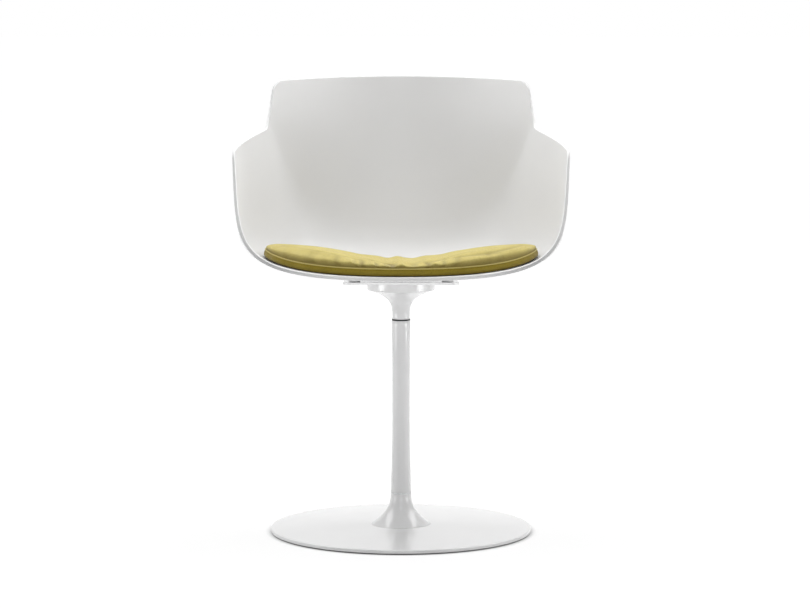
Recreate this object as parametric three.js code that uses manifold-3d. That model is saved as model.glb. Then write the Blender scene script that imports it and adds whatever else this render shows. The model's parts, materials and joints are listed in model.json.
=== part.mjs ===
// Pedestal swivel armchair: a one-piece bucket shell with low arms and a high back, and a thin
// boxed seat pad, turning on a slim column that flares into a round floor plate.
// Millimetres. +Z is up, the chair faces -Y, and the origin is on the floor under the column.

import * as THREE from 'three';
import { mergeVertices } from 'three/addons/utils/BufferGeometryUtils.js';
import Module from 'manifold-3d';

const wasm = await Module();
wasm.setup();

// Driving dimensions: clearances
const touchGap = 0.3; // between pieces that are cut by, or lean on, each other
const runningGap = 0.2; // between faces that turn on each other
const bushFit = 0.05; // all round the spindle in its bushes, at the flats of the bore
const overrun = 5; // how far a cutting tool reaches past what it cuts

// Driving dimensions: floor plate and foot
const glideThickness = 2;
const glideInset = 8;
const plateDiameter = 450;
const plateEdge = 6;
const plateEdgeRound = 2;
const plateCrown = 5;
const footHeight = 54;
const footSeatRadius = 51;
const footNeckRadius = 17.6;
const footFlareShare = 2.4;
const footWall = 5;
const footWebThickness = 14;
const footRingThickness = 1;
const footRingInset = 0.4;

// Driving dimensions: column
const columnTop = 367.9;
const columnWaistRadius = 15.1;
const columnWaistShare = 0.5;
const columnHeadRadius = 16.3;
const columnBoreRadius = 12.5;
const plugLength = 24;

// Driving dimensions: bolt that clamps the foot from beneath
const boltRadius = 6;
const boltHeadRadius = 9;
const boltHeadHeight = 4.6;
const boltSocketRadius = 4.5;
const boltSocketDepth = 2.4;
const boltWasherRadius = 13.4;
const boltWasherThickness = 1.3;
const counterboreRadius = 14;
const counterboreDepth = 6.5;

// Driving dimensions: swivel bearing in the head of the column
const housingLength = 70;
const bushLength = 20;
const bushWall = 1.7;
const bushFlangeThickness = 1.5;
const spindleRadius = 8;
const spindleTail = 10; // below the housing
const spindleGrip = 44; // inside the hub
const thrustWasherThickness = 1.4;
const thrustWasherInset = 0.7;
const retainerRadius = 11.5;
const retainerThickness = 1.5;
const clipThickness = 1.2;
const clipRadius = 10;
const clipGrooveDepth = 1.1;
const clipMouth = 60; // degrees

// Driving dimensions: trumpet hub under the seat
const hubNeckRadius = 15;
const hubFlangeRadius = 58;
const hubFlangeThickness = 10.9; // at the axis, up to the mounting plate
const hubFlareShare = 4;

// Driving dimensions: mounting plate, its screws and its rubber isolators
const mountWidth = 197;
const mountDepth = 205;
const mountThickness = 4;
const mountCorner = 14;
const mountDrop = 7; // clear height between the shell's underside and the plate
const mountScrewInset = 18.5; // from the side edges of the plate
const hubScrewCircle = 80;
const hubScrewRadius = 3;
const hubScrewHeadRadius = 5.6;
const hubScrewHeadHeight = 2.8;
const hubScrewBite = 8.4;
const hubScrewDepth = 9;
const isolatorRadius = 9;
const isolatorThickness = 3;
const shellScrewRadius = 2.5;
const shellScrewHeadRadius = 5.5;
const shellScrewHeadHeight = 2.8;
const insertRadius = 4.3;
const insertLength = 6.5;
const insertWall = 1.4;
const bossRadius = 9;

// Driving dimensions: seat shell
const lipForward = 250; // front edge of the seat, ahead of the column
const lipHeight = 464;
const seatRake = 4; // degrees, falling towards the back
const seatRun = 352; // from the front edge to the start of the bend into the back
const backBendRadius = 95;
const backRecline = 13; // degrees
const shellRise = 309; // from the front edge up to the top of the back
const shellWall = 6.6;
const shellWallAtEdge = 5.2;
const shellRimRound = 1.8;
const armTipForward = 90;
const armTipRise = 200; // above the front edge
const armRise = 7.2; // degrees, from the tip of the arm back to the notch
const backEdgeSetback = 127.5;
const backEdgeRise = 36; // above the tip of the arm
const backEdgeLean = 21.8; // degrees from upright
const notchSoftness = 9;
const armCorner = 13;
const backCorner = 15;

// The ribs of the shell end on a rim line that the arms and back are then trimmed from.
// Each list has five keys, evenly spaced along the centre line from front edge to top.
const rimDrop = 5; // below the top of the back
const rimHalfWidth = 297;
const rimHalfWidthShares = [1, 0.933, 0.877, 0.877, 0.877];
const rimSetback = 106;
const rimSetbackShares = [-0.075, 0.377, 0.868, 1, 1];
const ribFlatShares = [1.158, 1.36, 1.07, 0.56, 0.46];
const ribUprightShares = [0.823, 0.81, 0.83, 0.51, 0.44];
const ribFlare = [8.9, 10, 16, 27.2, 29.6]; // degrees

// Driving dimensions: seat pad and the tape that holds it
const padSideGap = 59; // from the ends of the pad to the rim line of the shell
const padHalfDepth = 182;
const padFrontGap = 6; // behind the front edge of the seat
const padCornerShare = 0.97; // 1 is an ellipse, and less is squarer
const padEndGap = 1; // under the side band, at the tightest place round its ends
const padBendPower = 2.2;
const padDrawIn = 2.5; // how far the sides pull in between the corners
const padBoxing = 10.5; // height of the side band above the board
const padSkirt = 2; // how far the side band reaches below the board
const padThickness = 19; // where it bends, in the middle
const padSwell = 9.5; // how much thicker each half is than the middle
const padSwellLean = 1.25; // above 1 moves the thickest part outwards
const padSwellPower = 1.5;
const padSeamDepth = 1.8;
const padSkin = 1.6;
const padBoardThickness = 1.6;
const tapeStack = 3; // clear height between the seat and the board, in the middle
const tapeWidth = 56;
const tapeDepth = 30;
const tapeSpread = 75; // from the middle of the pad
const tapeEdgeGap = 97; // from the front and back of the pad to the middle of the tapes

// Sides of round pieces
const plateSides = 48;
const columnSides = 28;
const hubSides = 32;
const smallSides = 16;
const padSides = 36;

const degree = Math.PI / 180;
const rightAngle = 90; // degrees

// Heights that follow from the driving dimensions
const plateRimTop = glideThickness + plateEdge;
const footBottom = plateRimTop + plateCrown;
const footTop = footBottom + footHeight;
const columnBottom = footTop + footRingThickness;
const hubBottom = columnTop + thrustWasherThickness + runningGap;
const housingTop = columnTop - bushFlangeThickness - touchGap;
const housingBottom = housingTop - housingLength;
const seatAtAxis = lipHeight - lipForward * Math.tan(seatRake * degree);
const shellUnderside = -shellWall / 2;
const mountTop = shellUnderside - mountDrop;
const mountBottom = mountTop - mountThickness;
const hubTopAtAxis = seatAtAxis + (mountBottom - touchGap) / Math.cos(seatRake * degree);
const hubFlangeHeight = hubTopAtAxis - hubFlangeThickness;
const shellTop = lipHeight + shellRise;
const armTipHeight = lipHeight + armTipRise;
const backEdgeHeight = armTipHeight + backEdgeRise;
const rimHeight = shellTop - rimDrop;
const padHalfWidth = rimHalfWidth - padSideGap;
const padCentreForward = lipForward - padFrontGap - padHalfDepth;
const tapePitch = 2 * (padHalfDepth - tapeEdgeGap);
const mountScrewPitch = mountWidth - 2 * mountScrewInset;
const bossFace = mountTop + isolatorThickness + 2 * touchGap;

const paint = (color, roughness, metalness = 0) =>
  new THREE.MeshStandardMaterial({ color, roughness, metalness });
const finishes = {
  lacquer: paint(0xf1f1ee, 0.22, 0.1),
  shell: paint(0xf3f3f0, 0.38),
  steel: paint(0xb4b6b8, 0.35, 0.9),
  brass: paint(0xb8974e, 0.35, 0.9),
  nylon: paint(0xe6e3d8, 0.5),
  black: paint(0x1b1b1b, 0.5),
  rubber: paint(0x26262a, 0.85),
  cover: paint(0xcdb768, 0.7),
  foam: paint(0xe9e2c4, 0.95),
  board: paint(0x35301f, 0.8),
};

const chair = new THREE.Group();
const raked = new THREE.Group(); // stands on the centre line of the seat, tilted with it
raked.position.z = seatAtAxis;
raked.rotation.x = -seatRake * degree;
raked.updateMatrix();
chair.add(raked);

function place(name, geometry, finish, parent = chair) {
  const mesh = new THREE.Mesh(geometry, finish);
  mesh.name = name;
  parent.add(mesh);
  return mesh;
}

// Turned piece: the profile is [radius, height] pairs, up the outside and down the inside.
function turned(profile, sides) {
  const points = profile.map(([radius, height]) => new THREE.Vector2(radius, height));
  if (points[0].x > 0) points.push(points[0].clone());
  return new THREE.LatheGeometry(points, sides).rotateX(Math.PI / 2);
}

function ring(outer, inner, bottom, top, sides) {
  return turned([[inner, bottom], [outer, bottom], [outer, top], [inner, top]], sides);
}

function post(radius, bottom, top, sides = smallSides) {
  return turned([[0, bottom], [radius, bottom], [radius, top], [0, top]], sides);
}

function solid(geometry) {
  const bare = geometry.clone();
  bare.deleteAttribute('normal');
  bare.deleteAttribute('uv');
  const merged = mergeVertices(bare);
  const corners = merged.index.array;
  const kept = [];
  for (let i = 0; i < corners.length; i += 3) {
    const [a, b, c] = [corners[i], corners[i + 1], corners[i + 2]];
    if (a !== b && b !== c && c !== a) kept.push(a, b, c);
  }
  const vertProperties = merged.attributes.position.array;
  const triVerts = new Uint32Array(kept);
  return new wasm.Manifold(new wasm.Mesh({ numProp: 3, vertProperties, triVerts }));
}

function geometryOf(manifold) {
  const mesh = manifold.getMesh();
  const geometry = new THREE.BufferGeometry();
  geometry.setAttribute('position', new THREE.BufferAttribute(mesh.vertProperties, 3));
  geometry.setIndex(new THREE.BufferAttribute(mesh.triVerts, 1));
  geometry.computeVertexNormals();
  return geometry;
}

// The four places of a square pattern, front left first.
function square(pitch) {
  const half = pitch / 2;
  return [[-half, -half], [half, -half], [-half, half], [half, half]];
}

// Solid skinned over closed loops of points, with a single point at each end. Each cell is split
// along its lower diagonal, so that two skins over the same cells lie parallel.
function skinned(start, loops, end) {
  const sides = loops[0].length;
  const points = [start, ...loops.flat(), end];
  const indices = [];
  const at = (loop, side) => 1 + loop * sides + (side % sides);
  for (let side = 0; side < sides; side++) {
    indices.push(0, at(0, side), at(0, side + 1));
    for (let loop = 0; loop < loops.length - 1; loop++) {
      const [a, b] = [at(loop, side), at(loop, side + 1)];
      const [c, d] = [at(loop + 1, side + 1), at(loop + 1, side)];
      const lower = points[a].z + points[c].z < points[b].z + points[d].z;
      indices.push(...(lower ? [a, d, c, a, c, b] : [a, d, b, b, d, c]));
    }
    indices.push(points.length - 1, at(loops.length - 1, side + 1), at(loops.length - 1, side));
  }
  return meshOf(points, indices);
}

function meshOf(points, indices) {
  const geometry = new THREE.BufferGeometry().setFromPoints(points);
  geometry.setIndex(indices);
  geometry.computeVertexNormals();
  return geometry;
}

// Floor plate

function floorGlide() {
  return post(plateDiameter / 2 - glideInset, 0, glideThickness, plateSides);
}

function floorPlate() {
  const rim = plateDiameter / 2;
  const flat = footSeatRadius + plateEdgeRound;
  const crownStart = rim - plateEdgeRound;
  const crownSteps = 5;
  const bore = boltRadius + touchGap;
  const profile = [
    [counterboreRadius, glideThickness],
    [rim - plateEdgeRound / 2, glideThickness],
    [rim, glideThickness + plateEdgeRound / 2],
    [rim, plateRimTop - plateEdgeRound],
    [rim - plateEdgeRound / 3, plateRimTop - plateEdgeRound / 3],
  ];
  for (let step = 0; step <= crownSteps; step++) {
    const share = 1 - step / crownSteps;
    const radius = flat + (crownStart - flat) * share;
    profile.push([radius, plateRimTop + plateCrown * (1 - share ** 2)]);
  }
  profile.push(
    [bore, footBottom],
    [bore, glideThickness + counterboreDepth],
    [counterboreRadius, glideThickness + counterboreDepth],
  );
  return turned(profile, plateSides);
}

function footRadiusAt(height) {
  const share = (height - footBottom) / footHeight;
  return footNeckRadius + (footSeatRadius - footNeckRadius) * (1 - share) ** footFlareShare;
}

function trumpetFoot() {
  const outerShares = [0, 0.06, 0.14, 0.24, 0.37, 0.53, 0.75, 1];
  const hollowTop = footTop - footWebThickness;
  const hollowShares = [1, 0.6, 0.3, 0.12, 0];
  const bore = boltRadius + touchGap;
  const profile = outerShares.map((share) => {
    const height = footBottom + footHeight * share;
    return [footRadiusAt(height), height];
  });
  profile.push([bore, footTop], [bore, hollowTop]);
  for (const share of hollowShares) {
    const height = footBottom + (hollowTop - footBottom) * share;
    profile.push([footRadiusAt(height) - footWall, height]);
  }
  return turned(profile, columnSides);
}

function footRing() {
  const outer = footNeckRadius - footRingInset;
  return ring(outer, boltRadius + touchGap, footTop, columnBottom, columnSides);
}

// Column

function columnRadiusAt(height) {
  const share = (height - columnBottom) / (columnTop - columnBottom);
  const away = share / columnWaistShare - 1;
  const end = away < 0 ? footNeckRadius : columnHeadRadius;
  return columnWaistRadius + (end - columnWaistRadius) * Math.abs(away) ** 2.2;
}

function columnTube() {
  const shares = [0, 0.06, 0.13, 0.22, 0.33, 0.5, 0.68, 0.82, 0.92, 1];
  const profile = shares.map((share) => {
    const height = columnBottom + (columnTop - columnBottom) * share;
    return [columnRadiusAt(height), height];
  });
  profile.push([columnBoreRadius, columnTop], [columnBoreRadius, columnBottom]);
  return turned(profile, columnSides);
}

function columnPlug() {
  const outer = columnBoreRadius - touchGap;
  return ring(outer, boltRadius + touchGap, columnBottom, columnBottom + plugLength, smallSides);
}

const counterboreTop = glideThickness + counterboreDepth;
const boltHeadTop = counterboreTop - boltWasherThickness;

function footBolt() {
  const headBottom = boltHeadTop - boltHeadHeight;
  const shank = turned([
    [0, headBottom],
    [boltHeadRadius, headBottom],
    [boltHeadRadius, boltHeadTop],
    [boltRadius, boltHeadTop],
    [boltRadius, columnBottom + plugLength],
    [0, columnBottom + plugLength],
  ], smallSides);
  const socket = post(boltSocketRadius, headBottom - overrun, headBottom + boltSocketDepth, 6);
  return geometryOf(solid(shank).subtract(solid(socket)));
}

function footBoltWasher() {
  const bore = boltRadius + touchGap;
  return ring(boltWasherRadius, bore, boltHeadTop, counterboreTop, smallSides);
}

// Swivel bearing

const housingOuter = columnBoreRadius - touchGap;
const bushInner = (spindleRadius + bushFit) / Math.cos(Math.PI / columnSides);
const bushOuter = bushInner + bushWall;
const housingInner = bushOuter + touchGap;

function bearingHousing() {
  return ring(housingOuter, housingInner, housingBottom, housingTop, columnSides);
}

function lowerBush() {
  return ring(bushOuter, bushInner, housingBottom, housingBottom + bushLength, columnSides);
}

function upperBush() {
  const sleeveBottom = housingTop - bushLength;
  const flangeBottom = columnTop - bushFlangeThickness;
  return turned([
    [bushInner, sleeveBottom],
    [bushOuter, sleeveBottom],
    [bushOuter, flangeBottom],
    [housingOuter, flangeBottom],
    [housingOuter, columnTop],
    [bushInner, columnTop],
  ], columnSides);
}

function thrustWasher() {
  const outer = columnHeadRadius - thrustWasherInset;
  return ring(outer, bushInner, columnTop, columnTop + thrustWasherThickness, columnSides);
}

const retainerTop = housingBottom - runningGap;
const retainerBottom = retainerTop - retainerThickness;
const clipTop = retainerBottom - touchGap;
const clipBottom = clipTop - clipThickness;
const grooveRadius = spindleRadius - clipGrooveDepth;

function spindle() {
  return turned([
    [0, housingBottom - spindleTail],
    [spindleRadius, housingBottom - spindleTail],
    [spindleRadius, clipBottom - touchGap],
    [grooveRadius, clipBottom - touchGap],
    [grooveRadius, clipTop + touchGap],
    [spindleRadius, clipTop + touchGap],
    [spindleRadius, hubBottom + spindleGrip - touchGap],
    [0, hubBottom + spindleGrip - touchGap],
  ], columnSides);
}

function retainingWasher() {
  const bore = spindleRadius + touchGap;
  return ring(retainerRadius, bore, retainerBottom, retainerTop, smallSides);
}

function spindleClip() {
  const inner = grooveRadius + touchGap;
  const from = (clipMouth / 2) * degree;
  const to = 2 * Math.PI - from;
  const outline = new THREE.Shape();
  outline.absarc(0, 0, clipRadius, from, to, false);
  outline.absarc(0, 0, inner, to, from, true);
  const options = { depth: clipThickness, bevelEnabled: false, curveSegments: smallSides };
  return new THREE.ExtrudeGeometry(outline, options);
}

// Hub and mounting plate

function hubRadiusAt(height) {
  const share = (height - hubBottom) / (hubFlangeHeight - hubBottom);
  return hubNeckRadius + (hubFlangeRadius - hubNeckRadius) * share ** hubFlareShare;
}

function rakedTool(geometry) {
  return solid(geometry.applyMatrix4(raked.matrix));
}

function seatHub() {
  const flareShares = [0, 0.3, 0.5, 0.64, 0.75, 0.84, 0.91, 0.96, 1];
  const bore = spindleRadius + touchGap;
  const profile = [[0, hubBottom + spindleGrip], [bore, hubBottom + spindleGrip], [bore, hubBottom]];
  for (const share of flareShares) {
    const height = hubBottom + (hubFlangeHeight - hubBottom) * share;
    profile.push([hubRadiusAt(height), height]);
  }
  const slope = hubFlangeRadius * Math.tan(seatRake * degree);
  const blankTop = hubTopAtAxis + 2 * slope;
  profile.push([hubFlangeRadius, blankTop], [0, blankTop]);
  const face = mountBottom - touchGap;
  const above = new THREE.BoxGeometry(mountWidth, mountDepth, 4 * slope);
  above.translate(0, 0, face + 2 * slope);
  let hub = solid(turned(profile, hubSides)).subtract(rakedTool(above));
  for (const [x, y] of square(hubScrewCircle * Math.SQRT1_2)) {
    const hole = post(hubScrewRadius + touchGap, face - hubScrewDepth, face + overrun);
    hub = hub.subtract(rakedTool(hole.translate(x, y, 0)));
  }
  return geometryOf(hub);
}

function hubScrewHole() {
  const headBottom = mountTop - hubScrewHeadHeight;
  const head = hubScrewHeadRadius + touchGap;
  const shank = hubScrewRadius + touchGap;
  return turned([
    [0, headBottom - overrun],
    [shank, headBottom - overrun],
    [shank, headBottom],
    [head, mountTop],
    [head, mountTop + overrun],
    [0, mountTop + overrun],
  ], smallSides);
}

function shellScrewHole() {
  const headTop = mountBottom + shellScrewHeadHeight;
  const head = shellScrewHeadRadius + touchGap;
  const shank = shellScrewRadius + touchGap;
  return turned([
    [0, mountBottom - overrun],
    [head, mountBottom - overrun],
    [head, mountBottom],
    [shank, headTop],
    [shank, headTop + overrun],
    [0, headTop + overrun],
  ], smallSides);
}

function mountingPlate() {
  const [w, d, r] = [mountWidth / 2, mountDepth / 2, mountCorner];
  const outline = new THREE.Shape();
  outline.absarc(w - r, d - r, r, 0, Math.PI / 2, false);
  outline.absarc(r - w, d - r, r, Math.PI / 2, Math.PI, false);
  outline.absarc(r - w, r - d, r, Math.PI, 1.5 * Math.PI, false);
  outline.absarc(w - r, r - d, r, 1.5 * Math.PI, 2 * Math.PI, false);
  const options = { depth: mountThickness, bevelEnabled: false, curveSegments: 5 };
  const blank = new THREE.ExtrudeGeometry(outline, options).translate(0, 0, mountBottom);
  let plate = solid(blank);
  for (const [x, y] of square(mountScrewPitch)) {
    plate = plate.subtract(solid(shellScrewHole().translate(x, y, 0)));
  }
  for (const [x, y] of square(hubScrewCircle * Math.SQRT1_2)) {
    plate = plate.subtract(solid(hubScrewHole().translate(x, y, 0)));
  }
  return geometryOf(plate);
}

function hubScrew() {
  const headTop = mountTop - touchGap;
  const headBottom = headTop - hubScrewHeadHeight;
  return turned([
    [0, mountBottom - hubScrewBite],
    [hubScrewRadius, mountBottom - hubScrewBite],
    [hubScrewRadius, headBottom],
    [hubScrewHeadRadius, headTop],
    [0, headTop],
  ], smallSides);
}

function isolator() {
  const bore = shellScrewRadius + touchGap;
  const bottom = mountTop + touchGap;
  return ring(isolatorRadius, bore, bottom, bottom + isolatorThickness, smallSides);
}

function shellScrew() {
  const tip = bossFace + insertLength - touchGap;
  return turned([
    [0, mountBottom],
    [shellScrewHeadRadius, mountBottom],
    [shellScrewRadius, mountBottom + shellScrewHeadHeight],
    [shellScrewRadius, tip],
    [0, tip],
  ], smallSides);
}

function threadedInsert() {
  const inner = insertRadius - insertWall;
  return ring(insertRadius, inner, bossFace, bossFace + insertLength, smallSides);
}

// Seat shell: its centre line, its ribs and its trimmed outline

// Natural cubic curve through evenly spaced keys, read by a share of its length.
function throughKeys(keys) {
  const last = keys.length - 1;
  const bend = new Array(last + 1).fill(0);
  const carry = new Array(last + 1).fill(0);
  for (let i = 1; i < last; i++) {
    carry[i] = 1 / (4 - carry[i - 1]);
    bend[i] = (6 * (keys[i + 1] - 2 * keys[i] + keys[i - 1]) - bend[i - 1]) * carry[i];
  }
  for (let i = last - 1; i > 0; i--) bend[i] -= carry[i] * bend[i + 1];
  return (share) => {
    const place = share * last;
    const i = Math.min(Math.max(Math.floor(place), 0), last - 1);
    const b = place - i;
    const a = 1 - b;
    const swell = ((a ** 3 - a) * bend[i] + (b ** 3 - b) * bend[i + 1]) / 6;
    return a * keys[i] + b * keys[i + 1] + swell;
  };
}

const scaled = (shares, size) => throughKeys(shares.map((share) => share * size));
const rimX = scaled(rimHalfWidthShares, rimHalfWidth);
const rimY = scaled(rimSetbackShares, rimSetback);
const ribFlat = throughKeys(ribFlatShares);
const ribUpright = throughKeys(ribUprightShares);
const ribFlareAt = throughKeys(ribFlare);

// Centre line in the plane of symmetry: raked seat, bend and reclined back.
const seatLength = seatRun / Math.cos(seatRake * degree);
const bendLength = backBendRadius * (rightAngle + seatRake - backRecline) * degree;
const bendCentre = [
  seatRun - lipForward + backBendRadius * Math.sin(seatRake * degree),
  lipHeight - seatRun * Math.tan(seatRake * degree) + backBendRadius * Math.cos(seatRake * degree),
];
const backFoot = [
  bendCentre[0] + backBendRadius * Math.cos(backRecline * degree),
  bendCentre[1] - backBendRadius * Math.sin(backRecline * degree),
];
const backLength = (shellTop - backFoot[1]) / Math.cos(backRecline * degree);

function centreLine(share) {
  const along = share * (seatLength + bendLength + backLength);
  if (along <= seatLength) {
    const rake = seatRake * degree;
    return [along * Math.cos(rake) - lipForward, lipHeight - along * Math.sin(rake)];
  }
  if (along <= seatLength + bendLength) {
    const turn = (along - seatLength) / backBendRadius - seatRake * degree;
    return [
      bendCentre[0] + backBendRadius * Math.sin(turn),
      bendCentre[1] - backBendRadius * Math.cos(turn),
    ];
  }
  const up = along - seatLength - bendLength;
  const lean = backRecline * degree;
  return [backFoot[0] + up * Math.sin(lean), backFoot[1] + up * Math.cos(lean)];
}

// Right half of the rib at a share of the centre line.
function rib(share) {
  const [y, z] = centreLine(share);
  const rise = new THREE.Vector2(rimY(share) - y, rimHeight - z);
  const height = rise.length();
  rise.normalize();
  const width = rimX(share);
  const flare = ribFlareAt(share) * degree;
  const upright = ribUpright(share) * height;
  const curve = new THREE.CubicBezierCurve(
    new THREE.Vector2(0, 0),
    new THREE.Vector2(ribFlat(share) * width, 0),
    new THREE.Vector2(width - upright * Math.sin(flare), height - upright * Math.cos(flare)),
    new THREE.Vector2(width, height),
  );
  return (at) => {
    const point = curve.getPoint(at);
    return new THREE.Vector3(point.x, y + point.y * rise.x, z + point.y * rise.y);
  };
}

// Height of the trimmed outline in side view: the arm, the notch and the edge of the back.
function outlineHeight(y) {
  const arm = armTipHeight + (y + armTipForward) * Math.tan(armRise * degree);
  const back = backEdgeHeight + (y - backEdgeSetback) / Math.tan(backEdgeLean * degree);
  const high = Math.max(arm, back);
  const low = Math.min(arm, back);
  return high + notchSoftness * Math.log1p(Math.exp((low - high) / notchSoftness));
}

function halve(isPast, low, high) {
  for (let step = 0; step < 26; step++) {
    const middle = (low + high) / 2;
    if (isPast(middle)) high = middle;
    else low = middle;
  }
  return (low + high) / 2;
}

function ribEnd(at) {
  return halve((t) => {
    const point = at(t);
    return point.z > outlineHeight(point.y);
  }, 0.2, 1);
}

const nudge = 1e-3; // share of a rib or of the centre line used to measure slopes

function surface(share, t) {
  const side = Math.sign(t) || 1;
  const at = rib(share);
  const point = at(Math.abs(t));
  const across = at(Math.abs(t) + nudge).sub(point);
  const before = Math.max(share - nudge, 0);
  const after = Math.min(share + nudge, 1);
  const along = rib(after)(Math.abs(t)).sub(rib(before)(Math.abs(t)));
  const normal = across.cross(along).normalize();
  point.x *= side;
  normal.x *= side;
  return { point, normal };
}

// Stations along the shell, closer together round the corners of the outline.
function stations(frontCorner, backCornerShare, steps) {
  const corner = [0, 30, 60].map((angle) => 1 - Math.cos(angle * degree));
  const list = corner.map((share) => frontCorner * share);
  for (let step = 0; step <= steps; step++) {
    list.push(frontCorner + (1 - frontCorner - backCornerShare) * (step / steps));
  }
  return [...list, ...corner.reverse().map((share) => 1 - backCornerShare * share)];
}

function cornerCut(share, corner, reach) {
  const into = Math.min(share / reach, 1);
  return corner * (1 - Math.sqrt(1 - (1 - into) ** 2));
}

function edgeSpeed(share) {
  const other = share < 0.5 ? share + 10 * nudge : share - 10 * nudge;
  const [a, b] = [rib(share), rib(other)];
  return a(ribEnd(a)).distanceTo(b(ribEnd(b))) / (10 * nudge);
}

function shellGrid(steps, ribSteps) {
  const frontReach = armCorner / edgeSpeed(0);
  const backReach = backCorner / edgeSpeed(1);
  return stations(frontReach, backReach, steps).map((share) => {
    const at = rib(share);
    const end = ribEnd(at);
    const speed = at(end).distanceTo(at(end - nudge)) / nudge;
    const corners = cornerCut(share, armCorner, frontReach) + cornerCut(1 - share, backCorner, backReach);
    const limit = end - (corners + shellWallAtEdge / 2) / speed;
    const row = [];
    for (let step = 0; step <= ribSteps; step++) {
      const across = (2 * step) / ribSteps - 1;
      const wall = shellWall + (shellWallAtEdge - shellWall) * Math.abs(across) ** 3;
      row.push({ ...surface(share, across * limit), half: wall / 2 });
    }
    return row;
  });
}

// Wall round a grid of surface points, with an upright rim whose two corners are eased.
function walled(grid) {
  const rows = grid.length;
  const columns = grid[0].length;
  const points = [];
  for (const side of [1, -1]) {
    for (const { point, normal, half } of grid.flat()) {
      points.push(point.clone().addScaledVector(normal, side * half));
    }
  }
  const inner = (row, column) => row * columns + column;
  const outer = (row, column) => rows * columns + row * columns + column;
  const indices = [];
  for (let row = 0; row < rows - 1; row++) {
    for (let column = 0; column < columns - 1; column++) {
      for (const [at, turn] of [[inner, false], [outer, true]]) {
        const [a, b] = [at(row, column), at(row, column + 1)];
        const [c, d] = [at(row + 1, column + 1), at(row + 1, column)];
        indices.push(...(turn ? [a, c, b, a, d, c] : [a, b, c, a, c, d]));
      }
    }
  }
  const loop = [];
  for (let column = 0; column < columns - 1; column++) loop.push([0, column]);
  for (let row = 0; row < rows - 1; row++) loop.push([row, columns - 1]);
  for (let column = columns - 1; column > 0; column--) loop.push([rows - 1, column]);
  for (let row = rows - 1; row > 0; row--) loop.push([row, 0]);
  const rings = [loop.map((place) => outer(...place))];
  for (const side of [-1, 1]) {
    rings.push(loop.map(([row, column], i) => {
      const { point, normal, half } = grid[row][column];
      const [nextRow, nextColumn] = loop[(i + 1) % loop.length];
      const [lastRow, lastColumn] = loop[(i + loop.length - 1) % loop.length];
      const run = grid[nextRow][nextColumn].point.clone().sub(grid[lastRow][lastColumn].point);
      const edge = point.clone().addScaledVector(run.cross(normal).normalize(), half);
      return points.push(edge.addScaledVector(normal, side * (half - shellRimRound))) - 1;
    }));
  }
  rings.push(loop.map((place) => inner(...place)));
  for (let level = 1; level < rings.length; level++) {
    loop.forEach((_, i) => {
      const next = (i + 1) % loop.length;
      const [a, b] = [rings[level - 1][i], rings[level - 1][next]];
      const [c, d] = [rings[level][next], rings[level][i]];
      indices.push(a, b, c, a, c, d);
    });
  }
  return meshOf(points, indices);
}

function seatShell() {
  let shell = solid(walled(shellGrid(26, 28)));
  for (const [x, y] of square(mountScrewPitch)) {
    const boss = post(bossRadius, bossFace, -shellUnderside / 2).translate(x, y, 0);
    shell = shell.add(rakedTool(boss));
  }
  for (const [x, y] of square(mountScrewPitch)) {
    const deep = bossFace + insertLength + touchGap;
    const hole = post(insertRadius + touchGap, bossFace - overrun, deep).translate(x, y, 0);
    shell = shell.subtract(rakedTool(hole));
  }
  return geometryOf(shell);
}

// Height of the seat's upper face at any place on its floor, read off the shell as built.
const shellMesh = place('seat_shell', seatShell(), finishes.shell);

function seatFace(x, y) {
  const above = new THREE.Vector3(x, y, 2 * shellTop);
  const down = new THREE.Vector3(0, 0, -1);
  const [hit] = new THREE.Raycaster(above, down).intersectObject(shellMesh);
  return hit.point.z;
}

// Seat pad: a boxed cover over foam on a thin board, held by four patches of hook and loop tape

// Place in plan at an angle round the pad, this far inside its outline.
function padPlan(angle, inset) {
  const round = (value) => Math.sign(value) * Math.abs(value) ** padCornerShare;
  const edge = new THREE.Vector2(
    padHalfWidth * round(Math.cos(angle)),
    padHalfDepth * round(Math.sin(angle)),
  );
  const drawn = inset + padDrawIn * Math.cos(2 * angle) ** 2;
  edge.setLength(Math.max(edge.length() - drawn, 0));
  edge.y -= padCentreForward;
  return edge;
}

// How far the ends of the board stand above its middle, so that the side band clears the shell.
function endRise() {
  const rises = [-45, -30, -15, 0, 15, 30, 45].map((angle) => {
    const { x, y } = padPlan(angle * degree, padSeamDepth / 2);
    const rise = seatFace(x, y) - seatFace(0, y) + padSkirt + padEndGap - tapeStack;
    return rise / Math.abs(x / padHalfWidth) ** padBendPower;
  });
  return Math.max(...rises);
}

const padBend = endRise();

// Underside of the board. It is stiff, so it bends across the seat and stays straight from front to
// back, and leaves the floor of the seat towards its corners.
function boardFace(x, y) {
  return seatFace(0, y) + tapeStack + padBend * Math.abs(x / padHalfWidth) ** padBendPower;
}

// Each half of the pad swells, and it stays thinner in the middle, where it bends, and at its ends.
function padLift(x, height, fullness) {
  const across = Math.min(Math.abs(x / padHalfWidth), 1);
  const swell = Math.sin(Math.PI * across ** padSwellLean) ** padSwellPower;
  return height + fullness * padSwell * swell;
}

function padPoint(angle, inset, height, fullness) {
  const { x, y } = padPlan(angle, inset);
  return new THREE.Vector3(x, y, boardFace(x, y) + padLift(x, height, fullness));
}

function padLoop([inset, height, fullness = 0]) {
  return Array.from({ length: padSides }, (_, side) =>
    padPoint((side / padSides) * 2 * Math.PI, inset, height, fullness));
}

function padCentre(height) {
  return new THREE.Vector3(0, -padCentreForward, boardFace(0, -padCentreForward) + height);
}

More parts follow.
